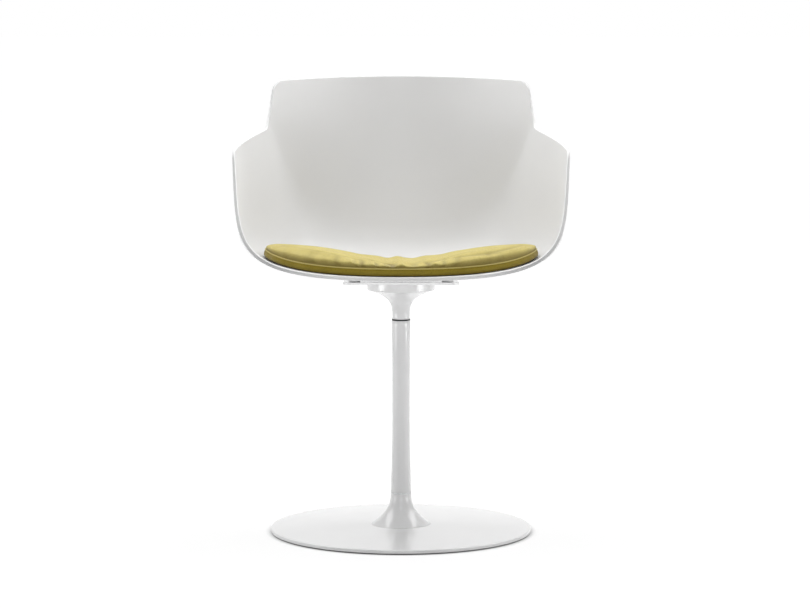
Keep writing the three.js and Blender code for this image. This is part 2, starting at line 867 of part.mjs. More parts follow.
// Loops as [inset from the outline, height above the board, share of the swell], from the middle
// of the top out over the rolled edge, then down the side.
const padRoll = padThickness - padBoxing;
const padTop = [
  [padHalfDepth * 0.6, padThickness, 1],
  [padHalfDepth * 0.42, padThickness, 1],
  [padHalfDepth * 0.25, padThickness - padRoll * 0.06, 0.9],
  [padRoll * 1.5, padThickness - padRoll * 0.22, 0.5],
  [padRoll * 0.4, padBoxing + padRoll * 0.4, 0.15],
];
const padSide = [
  [padSeamDepth, padBoxing],
  [0, padBoxing / 2],
  [padSeamDepth / 2, -padSkirt],
];
const coverInset = padSeamDepth + padSkin;

function insetTop(amount) {
  return padTop.map(([inset, height, fullness]) => [inset + amount, height - amount, fullness]);
}

function padCover() {
  const inside = [
    [coverInset, -padSkirt],
    [coverInset, padBoxing - padSkin],
    ...insetTop(padSkin).reverse(),
  ];
  const loops = [...padTop, ...padSide, ...inside].map(padLoop);
  return skinned(padCentre(padThickness), loops, padCentre(padThickness - padSkin));
}

const boardInset = coverInset + touchGap;
const boardInsets = [boardInset, padHalfDepth * 0.16, padHalfDepth * 0.5];

function padFoam() {
  const gap = padSkin + touchGap;
  const bottom = padBoardThickness + touchGap;
  const loops = [
    ...insetTop(gap),
    [boardInset, padBoxing - gap],
    ...boardInsets.map((inset) => [inset, bottom]),
  ].map(padLoop);
  return skinned(padCentre(padThickness - gap), loops, padCentre(bottom));
}

function padBoard() {
  const loops = [
    ...[...boardInsets].reverse().map((inset) => [inset, padBoardThickness]),
    ...boardInsets.map((inset) => [inset, 0]),
  ].map(padLoop);
  return skinned(padCentre(padBoardThickness), loops, padCentre(0));
}

// Patch of tape between two shares of the gap from the seat up to the board.
function tapePatch(x, y, from, to) {
  const cells = 2;
  const points = [];
  for (const share of [to, from]) {
    for (let row = 0; row <= cells; row++) {
      for (let column = 0; column <= cells; column++) {
        const px = x + tapeWidth * (column / cells - 0.5);
        const py = y + tapeDepth * (row / cells - 0.5);
        const [low, high] = [seatFace(px, py), boardFace(px, py)];
        points.push(new THREE.Vector3(px, py, low + (high - low) * share));
      }
    }
  }
  const side = cells + 1;
  const at = (level, row, column) => level * side * side + row * side + column;
  const indices = [];
  for (let i = 0; i < cells; i++) {
    for (let j = 0; j < cells; j++) {
      const [a, b, c, d] = [[i, j], [i, j + 1], [i + 1, j + 1], [i + 1, j]].map(([r, k]) => at(0, r, k));
      const [e, f, g, h] = [[i, j], [i, j + 1], [i + 1, j + 1], [i + 1, j]].map(([r, k]) => at(1, r, k));
      indices.push(a, b, c, a, c, d, e, g, f, e, h, g);
    }
    const edges = [
      [[0, i], [0, i + 1]],
      [[i, cells], [i + 1, cells]],
      [[cells, i + 1], [cells, i]],
      [[i + 1, 0], [i, 0]],
    ];
    for (const [from, to] of edges) {
      const [a, b] = [at(1, ...from), at(1, ...to)];
      const [c, d] = [at(0, ...to), at(0, ...from)];
      indices.push(a, b, c, a, c, d);
    }
  }
  return meshOf(points, indices);
}

// Assembly: pedestal
place('floor_glide', floorGlide(), finishes.black);
place('floor_plate', floorPlate(), finishes.lacquer);
place('foot_bolt', footBolt(), finishes.steel);
place('foot_bolt_washer', footBoltWasher(), finishes.steel);
place('trumpet_foot', trumpetFoot(), finishes.lacquer);
place('foot_ring', footRing(), finishes.steel);
place('column_tube', columnTube(), finishes.lacquer);
place('column_plug', columnPlug(), finishes.steel);
place('bearing_housing', bearingHousing(), finishes.steel);
place('lower_bush', lowerBush(), finishes.nylon);
place('upper_bush', upperBush(), finishes.nylon);
place('thrust_washer', thrustWasher(), finishes.black);

// Assembly: turning seat
place('spindle', spindle(), finishes.steel);
place('retaining_washer', retainingWasher(), finishes.steel);
place('spindle_clip', spindleClip(), finishes.steel).position.z = clipBottom;
place('seat_hub', seatHub(), finishes.lacquer);
place('mounting_plate', mountingPlate(), finishes.lacquer, raked);
square(hubScrewCircle * Math.SQRT1_2).forEach(([x, y], i) => {
  place(`hub_screw_${i + 1}`, hubScrew(), finishes.steel, raked).position.set(x, y, 0);
});
square(mountScrewPitch).forEach(([x, y], i) => {
  place(`isolator_${i + 1}`, isolator(), finishes.rubber, raked).position.set(x, y, 0);
  place(`shell_screw_${i + 1}`, shellScrew(), finishes.steel, raked).position.set(x, y, 0);
  place(`shell_insert_${i + 1}`, threadedInsert(), finishes.brass, raked).position.set(x, y, 0);
});
place('pad_board', padBoard(), finishes.board);
place('pad_foam', padFoam(), finishes.foam);
place('pad_cover', padCover(), finishes.cover);
square(2).forEach(([across, along], i) => {
  const x = across * tapeSpread;
  const y = (along * tapePitch) / 2 - padCentreForward;
  place(`hook_tape_${i + 1}`, tapePatch(x, y, 0.1, 0.45), finishes.black);
  place(`loop_tape_${i + 1}`, tapePatch(x, y, 0.55, 0.9), finishes.black);
});

export default chair;
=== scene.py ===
"""Pedestal swivel armchair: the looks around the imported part.

The shell, the pad and the round metal pieces are rebuilt finer from the same dimensions as the
part's source. Lengths are in millimetres until a mesh is made, where they become metres.
"""

import json
import math
import random

import bmesh
import bpy
import numpy as np
from mathutils import Matrix, Vector


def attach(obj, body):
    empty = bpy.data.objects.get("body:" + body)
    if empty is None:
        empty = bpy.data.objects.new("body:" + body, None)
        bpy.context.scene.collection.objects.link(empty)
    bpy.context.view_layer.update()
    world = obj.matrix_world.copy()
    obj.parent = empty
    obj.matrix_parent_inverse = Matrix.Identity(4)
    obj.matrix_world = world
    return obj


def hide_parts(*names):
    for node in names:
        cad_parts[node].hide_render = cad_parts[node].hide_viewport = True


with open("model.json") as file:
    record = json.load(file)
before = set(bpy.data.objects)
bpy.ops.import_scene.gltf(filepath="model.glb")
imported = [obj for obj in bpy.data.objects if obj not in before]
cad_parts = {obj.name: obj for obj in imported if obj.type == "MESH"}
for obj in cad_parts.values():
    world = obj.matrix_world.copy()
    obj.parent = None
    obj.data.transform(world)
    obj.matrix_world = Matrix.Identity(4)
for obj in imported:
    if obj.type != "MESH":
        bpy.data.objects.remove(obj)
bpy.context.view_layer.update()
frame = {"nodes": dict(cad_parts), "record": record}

MM = 0.001
TAU = 2 * math.pi
SEED = 7

# Pedestal: heights over the floor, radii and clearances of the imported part
TOUCH_GAP = 0.3
GLIDE_TOP = 2.0
GLIDE_INSET = 8.0
PLATE_RADIUS = 225.0
PLATE_RIM_TOP = 8.0
BOLT_HOLE, BOLT_RECESS, BOLT_RECESS_TOP = 6.3, 14.0, 8.5
FOOT_BOTTOM, FOOT_TOP = 13.0, 67.0
FOOT_SEAT = 53.0  # radius of the flat that the foot stands on
FOOT_NECK, FOOT_FLARE, FOOT_POWER = 17.6, 33.4, 2.4
FOOT_WALL = 5.0
FOOT_CAVITY_TOP = 53.0
RING_RADIUS = 17.2
COLUMN_BOTTOM, COLUMN_TOP = 68.0, 367.9
COLUMN_FOOT, COLUMN_WAIST, COLUMN_HEAD, COLUMN_POWER = 17.6, 15.1, 16.3, 2.2
COLUMN_BORE = 12.5
JOINT_SHADOW = 0.35  # added to the swivel gap above and below
WASHER_BORE, WASHER_RADIUS = 8.4, 15.7
HUB_BOTTOM, HUB_FLANGE = 369.5, 420.98
HUB_NECK, HUB_RADIUS, HUB_POWER = 15.0, 58.0, 4
HUB_BORE, HUB_BORE_DEPTH = 8.3, 44.0

# Seat shell
LIP_Y, LIP_Z = -250.0, 464.0
RAKE = math.radians(4)
SEAT_RUN = 352.0
BEND = 95.0
RECLINE = math.radians(13)
SHELL_TOP = 773.0
WALL, WALL_EDGE = 6.6, 5.2
ARM_TIP_Y, ARM_TIP_Z = -90.0, 664.0
ARM_RISE = math.radians(7.2)
BACK_EDGE_Y, BACK_EDGE_Z = 127.5, 700.0
BACK_EDGE_LEAN = math.radians(21.8)
NOTCH = 9.0
ARM_CORNER, BACK_CORNER = 13.0, 15.0
RIM_Z = 768.0
RIM_X = 297.0
RIM_Y = 106.0
RIM_X_SHARES = (1, 0.933, 0.877, 0.877, 0.877)
RIM_Y_SHARES = (-0.075, 0.377, 0.868, 1, 1)
RIB_FLAT = (1.158, 1.36, 1.07, 0.56, 0.46)
RIB_UPRIGHT = (0.823, 0.81, 0.83, 0.51, 0.44)
RIB_FLARE = (8.9, 10, 16, 27.2, 29.6)
RIM_ROUND = 1.6
RIM_STEPS = 4
SHELL_STEPS, SHELL_COLUMNS = 104, 128
ARM_CORNER_ROWS = 8
# Where painted shade darkens the cut edge: (start, run, strength) across the front and up the arms
EDGE_SHADE_ACROSS, EDGE_SHADE_LEAST = (120.0, 100.0, 0.85), 0.15
EDGE_SHADE_UP = (ARM_TIP_Z + 45, 40.0, 0.8)

# Seat pad
PAD_X, PAD_Y = 238.0, 182.0
PAD_CENTRE_Y = -62.0
PAD_CORNER = 0.97
PAD_DRAW_IN = 2.5
PAD_BEND, PAD_BEND_POWER = 33.133, 2.2
PAD_STACK = 3.0
PAD_BOXING = 10.5
BAND_TAPER = 0.1
BAND_CLEARANCE = 1.1
PAD_SKIRT = 2.0
PAD_THICK = 19.0
PAD_SWELL, PAD_SWELL_LEAN, PAD_SWELL_POWER = 9.5, 1.25, 1.5
SEAM_DEPTH = 3.6
BOARD_THICK = 1.6
COVER_SKIN = 1.3
REACH_STEPS, REACH_BLUR = 240, 4
PIPING_STEPS, PIPING_INSET, PIPING_HEIGHT, PIPING_RADIUS = 420, 2.1, 0.975, 0.95

# Mounting plate, its screws and isolators, in the raked frame of the seat
MOUNT_X, MOUNT_Y = 98.5, 102.5
MOUNT_TOP, MOUNT_BOTTOM = -10.3, -14.3
MOUNT_CORNER, MOUNT_BEVEL = 14.0, 0.7
SCREW_PLACES = [(x, y) for y in (-80.0, 80.0) for x in (-80.0, 80.0)]
SCREW_HOLE = 5.7
SCREW_HEAD, SCREW_HEAD_DEPTH, SCREW_SHANK, SCREW_TOP = 5.3, 2.8, 2.5, -1.0
SOCKET_RIM, SOCKET_HALF, SOCKET_DEPTH = 3.2, 1.9, 1.6
ISOLATOR_RADIUS, ISOLATOR_BORE, ISOLATOR_HEIGHT = 9.0, 2.8, 3.0
BOSS_RADIUS, INSERT_BORE, INSERT_DEPTH = 9.0, 4.6, 6.8
SMALL_SIDES = 48

RAKED = (Matrix.Translation((0, 0, LIP_Z + LIP_Y * math.tan(RAKE)))
         @ Matrix.Rotation(-RAKE, 4, "X"))


# Meshes

def mesh_of(name, points, faces):
    """A smooth mesh in metres from points in millimetres."""
    mesh = bpy.data.meshes.new(name)
    mesh.from_pydata([tuple(float(c) * MM for c in p) for p in points], [], faces)
    mesh.update()
    mesh.shade_smooth()
    return mesh


def placed(name, data):
    obj = bpy.data.objects.new(name, data)
    bpy.context.scene.collection.objects.link(obj)
    return obj


NEARLY_STRAIGHT = 3.0  # radians between the two sides of a corner
LONGEST_ROUND = 0.45  # of a side, that one rounding may take
SUPPORT = 1.6  # distance of a supporting point, in reaches of the rounding


def fillet(profile, radius=0.5, steps=3):
    """Rounds a closed profile's corners, each (radius, height) and maybe a rounding of its own."""
    out = []
    for i, corner in enumerate(profile):
        here = np.array(corner[:2], float)
        size = corner[2] if len(corner) > 2 else radius
        a, b = (np.array(profile[j % len(profile)][:2], float) - here for j in (i - 1, i + 1))
        len_a, len_b = np.linalg.norm(a), np.linalg.norm(b)
        a, b = a / len_a, b / len_b
        turn = math.acos(np.clip(a @ b, -1, 1))
        if size == 0 or turn > NEARLY_STRAIGHT:
            out.append(tuple(here))
            continue
        reach = min(size / math.tan(turn / 2), LONGEST_ROUND * len_a, LONGEST_ROUND * len_b)
        start, end = here + a * reach, here + b * reach
        if reach * SUPPORT < 0.5 * len_a:
            out.append(tuple(here + a * reach * SUPPORT))
        for step in range(steps + 1):
            s = step / steps
            out.append(tuple((1 - s) ** 2 * start + 2 * s * (1 - s) * here + s ** 2 * end))
        if reach * SUPPORT < 0.5 * len_b:
            out.append(tuple(here + b * reach * SUPPORT))
    return out


def between(rings):
    """Faces between neighbouring closed rings of point numbers, less any repeated points."""
    faces = []
    for low, high in zip(rings, rings[1:]):
        for k in range(len(low)):
            n = (k + 1) % len(low)
            quad = [low[k], low[n], high[n], high[k]]
            faces.append([p for i, p in enumerate(quad) if p != quad[i - 1]])
    return [face for face in faces if len(face) > 2]


def grid(n_rows, n_cols):
    """Faces of a grid of points that are numbered row by row."""
    return [[a, a + 1, a + n_cols + 1, a + n_cols] for row in range(n_rows - 1)
            for a in range(row * n_cols, (row + 1) * n_cols - 1)]


def border(n_rows, n_cols):
    """Places (row, column) round the border of a grid."""
    loop = [(0, c) for c in range(n_cols - 1)] + [(r, n_cols - 1) for r in range(n_rows - 1)]
    return (loop + [(n_rows - 1, c) for c in range(n_cols - 1, 0, -1)]
            + [(r, 0) for r in range(n_rows - 1, 0, -1)])


def lathe(profile, sides=96, closed=True, height=None):
    """Points and faces of a turned piece. height(x, y, z) may tilt a point's height."""
    points, rings = [], []
    for r, z in profile:
        count = sides if r else 1
        rings.append([len(points) + k % count for k in range(sides)])
        for k in range(count):
            x, y = r * math.cos(TAU * k / sides), r * math.sin(TAU * k / sides)
            points.append((x, y, height(x, y, z) if height else z))
    return points, between(rings + rings[:1] if closed else rings)


def under_seat(points, x=0, y=0, z=0):
    """Points of a piece drawn at the origin, moved to a place in the raked frame."""
    return [tuple(RAKED @ Matrix.Translation((x, y, z)) @ Vector(p)) for p in points]


def joined(*parts):
    """One list of points and one of faces from several such pairs."""
    points, faces = [], []
    for more_points, more_faces in parts:
        base = len(points)
        points += list(more_points)
        faces += [[base + i for i in f] for f in more_faces]
    return points, faces


# Materials

def srgb(r, g, b):
    """Linear colour of an sRGB colour given in 0 to 255."""
    out = []
    for c in (r, g, b):
        c /= 255
        out.append(c / 12.92 if c <= 0.04045 else ((c + 0.055) / 1.055) ** 2.4)
    return (*out, 1.0)


NOISE_SPAN = (0.3, 0.7)  # a noise seldom leaves this range
TONE_SCALE = 40


class Tree:
    """Short way to build a node tree."""

    def __init__(self, tree):
        self.tree = tree

    def add(self, kind, inputs=(), **props):
        """A node, each of its inputs given a value or linked to an output."""
        node = self.tree.nodes.new("ShaderNode" + kind)
        for key, value in props.items():
            setattr(node, key, value)
        for key, value in dict(inputs).items():
            if isinstance(value, (int, float, tuple)):
                node.inputs[key].default_value = value
            elif value:
                self.tree.links.new(value, node.inputs[key])
        return node

    def maths(self, operation, a, b):
        return self.add("Math", {0: a, 1: b}, operation=operation).outputs[0]

    def squash(self, value, low, high, to_low=0.0, to_high=1.0):
        return self.add("MapRange", {"From Min": low, "From Max": high, "To Min": to_low,
                                     "To Max": to_high, "Value": value}).outputs["Result"]


class Nodes(Tree):
    """Node tree of one material, round its Principled shader."""

    def __init__(self, name, **sockets):
        self.mat = bpy.data.materials.new(name)
        self.mat.use_nodes = True
        super().__init__(self.mat.node_tree)
        self.shader = self.tree.nodes["Principled BSDF"]
        for key, value in sockets.items():
            self.shader.inputs[key.replace("_", " ")].default_value = value
        self.where = self.add("TexCoord").outputs["Object"]

    def noise(self, scale, detail=3.0, rough=0.5, where=None):
        return self.add("TexNoise", {"Scale": scale, "Detail": detail, "Roughness": rough,
                                     "Vector": where or self.where}).outputs["Fac"]

    def cells(self, scale):
        return self.add("TexVoronoi", {"Scale": scale, "Vector": self.where},
                        feature="DISTANCE_TO_EDGE").outputs["Distance"]

    def mark(self, name):
        """A value that the mesh holds for each point."""
        return self.add("Attribute", attribute_name=name).outputs["Fac"]

    def mix(self, factor, a, b):
        """Colour between a and b. Inputs 6 and 7 and output 2 are a Mix node's colours."""
        return self.add("Mix", {0: factor, 6: a, 7: b}, data_type="RGBA").outputs[2]

    def feed(self, key, value):
        self.tree.links.new(value, self.shader.inputs[key])

    def colour(self, value):
        self.feed("Base Color", value)

    def rough(self, noise, low, high):
        """Roughness from low to high over a noise."""
        self.feed("Roughness", self.squash(noise, *NOISE_SPAN, low, high))

    def bump(self, *layers):
        """Layers of (height, distance in metres, strength), one bump on the next."""
        last = None
        for height, distance, strength in layers:
            last = self.add("Bump", {"Strength": strength, "Distance": distance,
                                     "Height": height, "Normal": last}).outputs["Normal"]
        self.feed("Normal", last)


def lacquer():
    """Baked gloss lacquer on steel, with the faint ripple of a sprayed coat."""
    n = Nodes("white_lacquer", Coat_Weight=1.0, Coat_Roughness=0.08, Specular_IOR_Level=0.3)
    n.colour(n.mix(n.noise(14, 2), srgb(233, 233, 233), srgb(239, 239, 239)))
    n.rough(n.noise(9, 2), 0.30, 0.34)
    n.bump((n.noise(14, 1), 0.0002, 0.01))
    return n.mat


def shell_plastic():
    """Moulded shell, coloured through, with a fine satin texture."""
    n = Nodes("white_shell", Specular_IOR_Level=0.5, Coat_Weight=0.15, Coat_Roughness=0.25)
    tone = n.mix(n.noise(5, 3), srgb(239, 239, 239), srgb(245, 245, 245))
    # Painted shade: the cut edge turns grey where the mesh's edge mark says
    n.colour(n.mix(n.mark("edge"), tone, srgb(197, 197, 197)))
    n.rough(n.noise(30, 5), 0.34, 0.44)
    n.bump((n.noise(9, 2), 0.0015, 0.04), (n.noise(2600, 2), 0.00005, 0.25))
    return n.mat


def leather(name, dark, light, pore, bounce_colour):
    """Soft mustard leather: pebbled grain, faint creases, a rubbed, uneven tone and painted shade
    where the mesh's hollow mark says.
    """
    n = Nodes(name, Specular_IOR_Level=0.3, Sheen_Weight=0.1, Sheen_Roughness=0.5)
    n.shader.inputs["Sheen Tint"].default_value = srgb(250, 240, 200)
    grain = n.cells(620)
    base = n.mix(n.squash(n.noise(26, 4, 0.6), *NOISE_SPAN), srgb(*dark), srgb(*light))
    base = n.mix(n.squash(grain, 0.0, 0.12), srgb(*pore), base)
    # Painted shade in creases, puckers, along the seam and on the side band, from the mesh's
    # hollow mark
    base = n.mix(n.maths("MULTIPLY", n.mark("hollow"), 0.75), base, srgb(96, 79, 16))
    # The photograph shows next to no yellow bounce on the white shell
    bounce = n.add("LightPath").outputs["Is Diffuse Ray"]
    n.colour(n.mix(n.maths("MULTIPLY", bounce, 0.8), base, srgb(*bounce_colour)))
    n.rough(n.noise(90, 3), 0.52, 0.66)
    n.bump((n.noise(45, 4, 0.55), 0.0016, 0.20),
           (n.squash(grain, 0.0, 0.25), 0.00025, 0.35), (n.noise(1500, 3, 0.6), 0.0001, 0.25))
    return n.mat


def piping_leather():
    """Smoother, paler leather drawn tight round the cord."""
    n = Nodes("pad_piping", Specular_IOR_Level=0.5, Roughness=0.42)
    n.colour(n.mix(n.noise(300, 3), srgb(184, 167, 84), srgb(200, 184, 104)))
    n.bump((n.noise(900, 3), 0.0002, 0.3))
    return n.mat


def turned_steel():
    """Bare steel with the fine rings of turning."""
    n = Nodes("steel", Metallic=1.0, Anisotropic=0.4)
    n.colour(n.mix(n.noise(80, 3), srgb(188, 190, 192), srgb(206, 208, 210)))
    stretch = n.add("Mapping", {"Scale": (1, 1, 40), "Vector": n.where})
    rings = n.noise(120, 4, 0.6, stretch.outputs[0])
    n.rough(rings, 0.24, 0.40)
    n.bump((rings, 0.00008, 0.3))
    return n.mat


def plain(name, dark, light, rough, grain, depth, metallic=0.0):
    """Simple material with an uneven tone, uneven gloss and a fine grain."""
    n = Nodes(name, Metallic=metallic)
    n.colour(n.mix(n.noise(TONE_SCALE, 3), srgb(*dark), srgb(*light)))
    n.rough(n.noise(TONE_SCALE * 3, 3), rough - 0.06, rough + 0.06)
    n.bump((n.noise(grain, 3, 0.6), depth, 0.35))
    return n.mat


MATERIALS = {
    "white_lacquer": lacquer(),
    "white_shell": shell_plastic(),
    "pad_cover": leather("pad_cover", (205, 189, 111), (216, 202, 124), (171, 154, 76),
                         (178, 176, 172)),
    "steel": turned_steel(),
}
for plain_row in (
        ("insert_brass", (176, 146, 76), (198, 168, 96), 0.34, 900, 0.0001, 1.0),
        ("bush_nylon", (224, 220, 208), (234, 231, 221), 0.50, 700, 0.0001),
        ("black_plastic", (11, 11, 12), (19, 19, 20), 0.60, 1100, 0.0001),
        ("tape_nylon", (18, 18, 19), (34, 34, 36), 0.85, 1600, 0.0006),
        ("isolator_rubber", (226, 226, 226), (236, 236, 236), 0.70, 800, 0.0001),
        ("pad_board", (48, 43, 28), (66, 60, 42), 0.88, 1200, 0.0004),
        ("pad_foam", (222, 216, 188), (236, 231, 205), 0.92, 1300, 0.0008)):
    MATERIALS[plain_row[0]] = plain(*plain_row)
SLOT_OF = {row["node"]: row["material_slot"] for row in frame["record"]["subparts"]}
for solid_name, solid in frame["nodes"].items():
    solid.data.materials.clear()
    solid.data.materials.append(MATERIALS[SLOT_OF[solid_name]])


def piece(name, shape, body, slot, *nodes, material=None):
    """A piece of (points, faces) on a body, in its slot's material, hiding the nodes that it
    stands for.
    """
    obj = placed(name, mesh_of(name, *shape))
    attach(obj, body)
    obj.data.materials.append(material or MATERIALS[slot])
    if nodes:
        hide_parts(*nodes)
    return obj


# Pedestal

def floor_glide():
    r = PLATE_RADIUS - GLIDE_INSET
    profile = [(0, 0), (r - 1, 0), (r, 0.6), (r, GLIDE_TOP), (0, GLIDE_TOP)]
    piece("glide", lathe(profile, 160, closed=False), "pedestal", "black_plastic", "floor_glide")


def floor_plate():
    """Faintly crowned plate with a rounded rim and a recess for the bolt beneath."""
    start, steps = PLATE_RADIUS - 2, 24
    crown = []
    for step in range(1, steps + 1):
        share = 1 - step / steps
        crown.append((FOOT_SEAT + (start - FOOT_SEAT) * share,
                      PLATE_RIM_TOP + (FOOT_BOTTOM - PLATE_RIM_TOP) * (1 - share ** 2)))
    profile = fillet([(BOLT_RECESS, GLIDE_TOP, 0.3), (PLATE_RADIUS, GLIDE_TOP, 1.0),
                      (PLATE_RADIUS, PLATE_RIM_TOP, 2.2)], steps=6)
    profile = profile[:-1] + crown
    profile += [(BOLT_HOLE, FOOT_BOTTOM), (BOLT_HOLE, BOLT_RECESS_TOP),
                (BOLT_RECESS, BOLT_RECESS_TOP)]
    piece("base_plate", lathe(profile, 192), "pedestal", "white_lacquer", "floor_plate")


def foot_radius(z):
    share = (z - FOOT_BOTTOM) / (FOOT_TOP - FOOT_BOTTOM)
    return FOOT_NECK + FOOT_FLARE * (1 - share) ** FOOT_POWER


def trumpet_foot():
    """Flared foot with eased edges, hollow from beneath."""
    ease, top_ease, steps = 0.35, 0.25, 40
    outer = [(foot_radius(FOOT_BOTTOM) - ease, FOOT_BOTTOM),
             (foot_radius(FOOT_BOTTOM), FOOT_BOTTOM + ease)]
    for step in range(1, steps):
        z = FOOT_BOTTOM + (FOOT_TOP - FOOT_BOTTOM) * (step / steps) ** 1.25
        outer.append((foot_radius(z), z))
    outer += [(FOOT_NECK, FOOT_TOP - top_ease), (FOOT_NECK - top_ease, FOOT_TOP)]
    outer += [(BOLT_HOLE, FOOT_TOP), (BOLT_HOLE, FOOT_CAVITY_TOP)]
    for z in (FOOT_CAVITY_TOP, 40.0, 29.0, 20.0, FOOT_BOTTOM):
        outer.append((foot_radius(z) - FOOT_WALL, z))
    piece("foot", lathe(outer), "pedestal", "white_lacquer", "trumpet_foot")


def column():
    """Waisted tube with eased ends, its top lowered by the joint's shadow."""
    steps = 60
    outer = [(COLUMN_FOOT - 0.3, COLUMN_BOTTOM), (COLUMN_FOOT - 0.05, COLUMN_BOTTOM + 0.3)]
    for step in range(1, steps):
        z = COLUMN_BOTTOM + (COLUMN_TOP - 1 - COLUMN_BOTTOM) * step / steps
        away = 2 * (z - COLUMN_BOTTOM) / (COLUMN_TOP - COLUMN_BOTTOM) - 1
        end = COLUMN_FOOT if away < 0 else COLUMN_HEAD
        outer.append((COLUMN_WAIST + (end - COLUMN_WAIST) * abs(away) ** COLUMN_POWER, z))
    top = COLUMN_TOP - JOINT_SHADOW
    outer += [(COLUMN_HEAD - 0.1, top - 0.3), (COLUMN_HEAD - 0.4, top), (COLUMN_BORE, top),
              (COLUMN_BORE, COLUMN_BOTTOM)]
    piece("column", lathe(outer), "pedestal", "white_lacquer", "column_tube")


def washer(name, bore, radius, low, high, ease, slot, node):
    profile = fillet([(bore, low), (radius, low), (radius, high), (bore, high)], ease)
    piece(name, lathe(profile), "pedestal", slot, node)


# Hub and mounting plate

def hub():
    """Trumpet hub whose flange is cut off by the raked plane under the mounting plate."""
    low, bore_top, steps = HUB_BOTTOM + JOINT_SHADOW, HUB_BOTTOM + HUB_BORE_DEPTH, 36
    profile = [(0, bore_top), (HUB_BORE, bore_top), (HUB_BORE, low), (HUB_NECK - 0.2, low),
               (HUB_NECK, low + 0.2)]
    for step in range(1, steps):
        share = (step / steps) ** 0.75
        profile.append((HUB_NECK + (HUB_RADIUS - HUB_NECK) * share ** HUB_POWER,
                        HUB_BOTTOM + (HUB_FLANGE - HUB_BOTTOM) * share))
    profile += [(HUB_RADIUS - 0.8, HUB_FLANGE - 0.25), (HUB_RADIUS - 0.2, HUB_FLANGE + 0.1),
                (HUB_RADIUS, HUB_FLANGE + 0.8), (HUB_RADIUS, HUB_FLANGE + 2.0)]
    # Profile heights near this mark count from the raked cut instead of from the floor
    mark = 1000.0
    profile += [(HUB_RADIUS, mark - 1.2), (HUB_RADIUS, mark - 0.6), (HUB_RADIUS - 0.6, mark),
                (HUB_RADIUS - 2, mark), (20, mark), (0, mark)]
    cut = LIP_Z + LIP_Y * math.tan(RAKE) + (MOUNT_BOTTOM - TOUCH_GAP) / math.cos(RAKE)

    def height(x, y, z):
        return cut - y * math.tan(RAKE) + (z - mark) if z > mark / 2 else z

    piece("hub", lathe(profile, 128, closed=False, height=height),
          "seat", "white_lacquer", "seat_hub")


def rounded_outline(half_x, half_y, radius, steps=10):
    """Outline of a rectangle with rounded corners."""
    outline = []
    for cx, cy, start in ((1, 1, 0), (-1, 1, 90), (-1, -1, 180), (1, -1, 270)):
        for step in range(steps + 1):
            angle = math.radians(start + 90 * step / steps)
            outline.append((cx * (half_x - radius) + radius * math.cos(angle),
                            cy * (half_y - radius) + radius * math.sin(angle)))
    return outline


def mounting_plate():
    """Pressed plate with rounded edges and four screw holes."""
    curve = bpy.data.curves.new("plate_outline", "CURVE")
    curve.dimensions = "2D"
    curve.fill_mode = "BOTH"
    sides, hole = 40, SCREW_HOLE + MOUNT_BEVEL
    outlines = [rounded_outline(MOUNT_X - MOUNT_BEVEL, MOUNT_Y - MOUNT_BEVEL, MOUNT_CORNER)]
    for x, y in SCREW_PLACES:
        outlines.append([(x + hole * math.cos(TAU * k / sides),
                          y + hole * math.sin(TAU * k / sides)) for k in range(sides)])
    for outline in outlines:
        spline = curve.splines.new("POLY")
        spline.points.add(len(outline) - 1)
        for point, (x, y) in zip(spline.points, outline):
            point.co = (x, y, 0, 1)
        spline.use_cyclic_u = True
    curve.extrude = (MOUNT_TOP - MOUNT_BOTTOM) / 2 - MOUNT_BEVEL
    curve.bevel_depth = MOUNT_BEVEL
    curve.bevel_resolution = 2
    source = placed("plate_outline", curve)
    bpy.context.view_layer.update()
    made = bpy.data.meshes.new_from_object(source.evaluated_get(
        bpy.context.evaluated_depsgraph_get()))
    shape = (under_seat([v.co for v in made.vertices], z=(MOUNT_TOP + MOUNT_BOTTOM) / 2),
             [list(p.vertices) for p in made.polygons])
    bpy.data.objects.remove(source)
    bpy.data.curves.remove(curve)
    bpy.data.meshes.remove(made)
    obj = piece("seat_plate", shape, "seat", "white_lacquer", "mounting_plate")
    clean = bmesh.new()
    clean.from_mesh(obj.data)
    bmesh.ops.remove_doubles(clean, verts=clean.verts, dist=1e-6)
    bmesh.ops.recalc_face_normals(clean, faces=clean.faces)
    clean.to_mesh(obj.data)
    clean.free()
    obj.modifiers.new("even", "WEIGHTED_NORMAL")


def shell_screw(number, x, y):
    """Countersunk screw with a hexagon socket, seen from beneath."""
    sides = SMALL_SIDES
    neck = MOUNT_BOTTOM + SCREW_HEAD_DEPTH
    points, faces = lathe([(SOCKET_RIM, MOUNT_BOTTOM), (SCREW_HEAD - 0.1, MOUNT_BOTTOM),
                           (SCREW_HEAD, MOUNT_BOTTOM + 0.15), (SCREW_SHANK, neck)],
                          sides, closed=False)
    rings = [range(sides)]
    sixth = TAU / 6
    for depth in (0.0, SOCKET_DEPTH):
        rings.append(range(len(points), len(points) + sides))
        for k in range(sides):
            angle = TAU * k / sides
            r = SOCKET_HALF / math.cos((angle + sixth / 2) % sixth - sixth / 2)
            points.append((r * math.cos(angle), r * math.sin(angle), MOUNT_BOTTOM + depth))
    rings.append([len(points)] * sides)
    points.append((0, 0, MOUNT_BOTTOM + SOCKET_DEPTH + 0.3))
    faces += between(rings[::-1])
    shank = lathe([(SCREW_SHANK, neck), (SCREW_SHANK, SCREW_TOP), (0, SCREW_TOP)], sides,
                  closed=False)
    points, faces = joined((points, faces), shank)
    obj = piece(f"plate_screw_{number}", (under_seat(points, x, y), faces), "seat", "steel",
                f"shell_screw_{number}")
    obj.modifiers.new("even", "WEIGHTED_NORMAL")


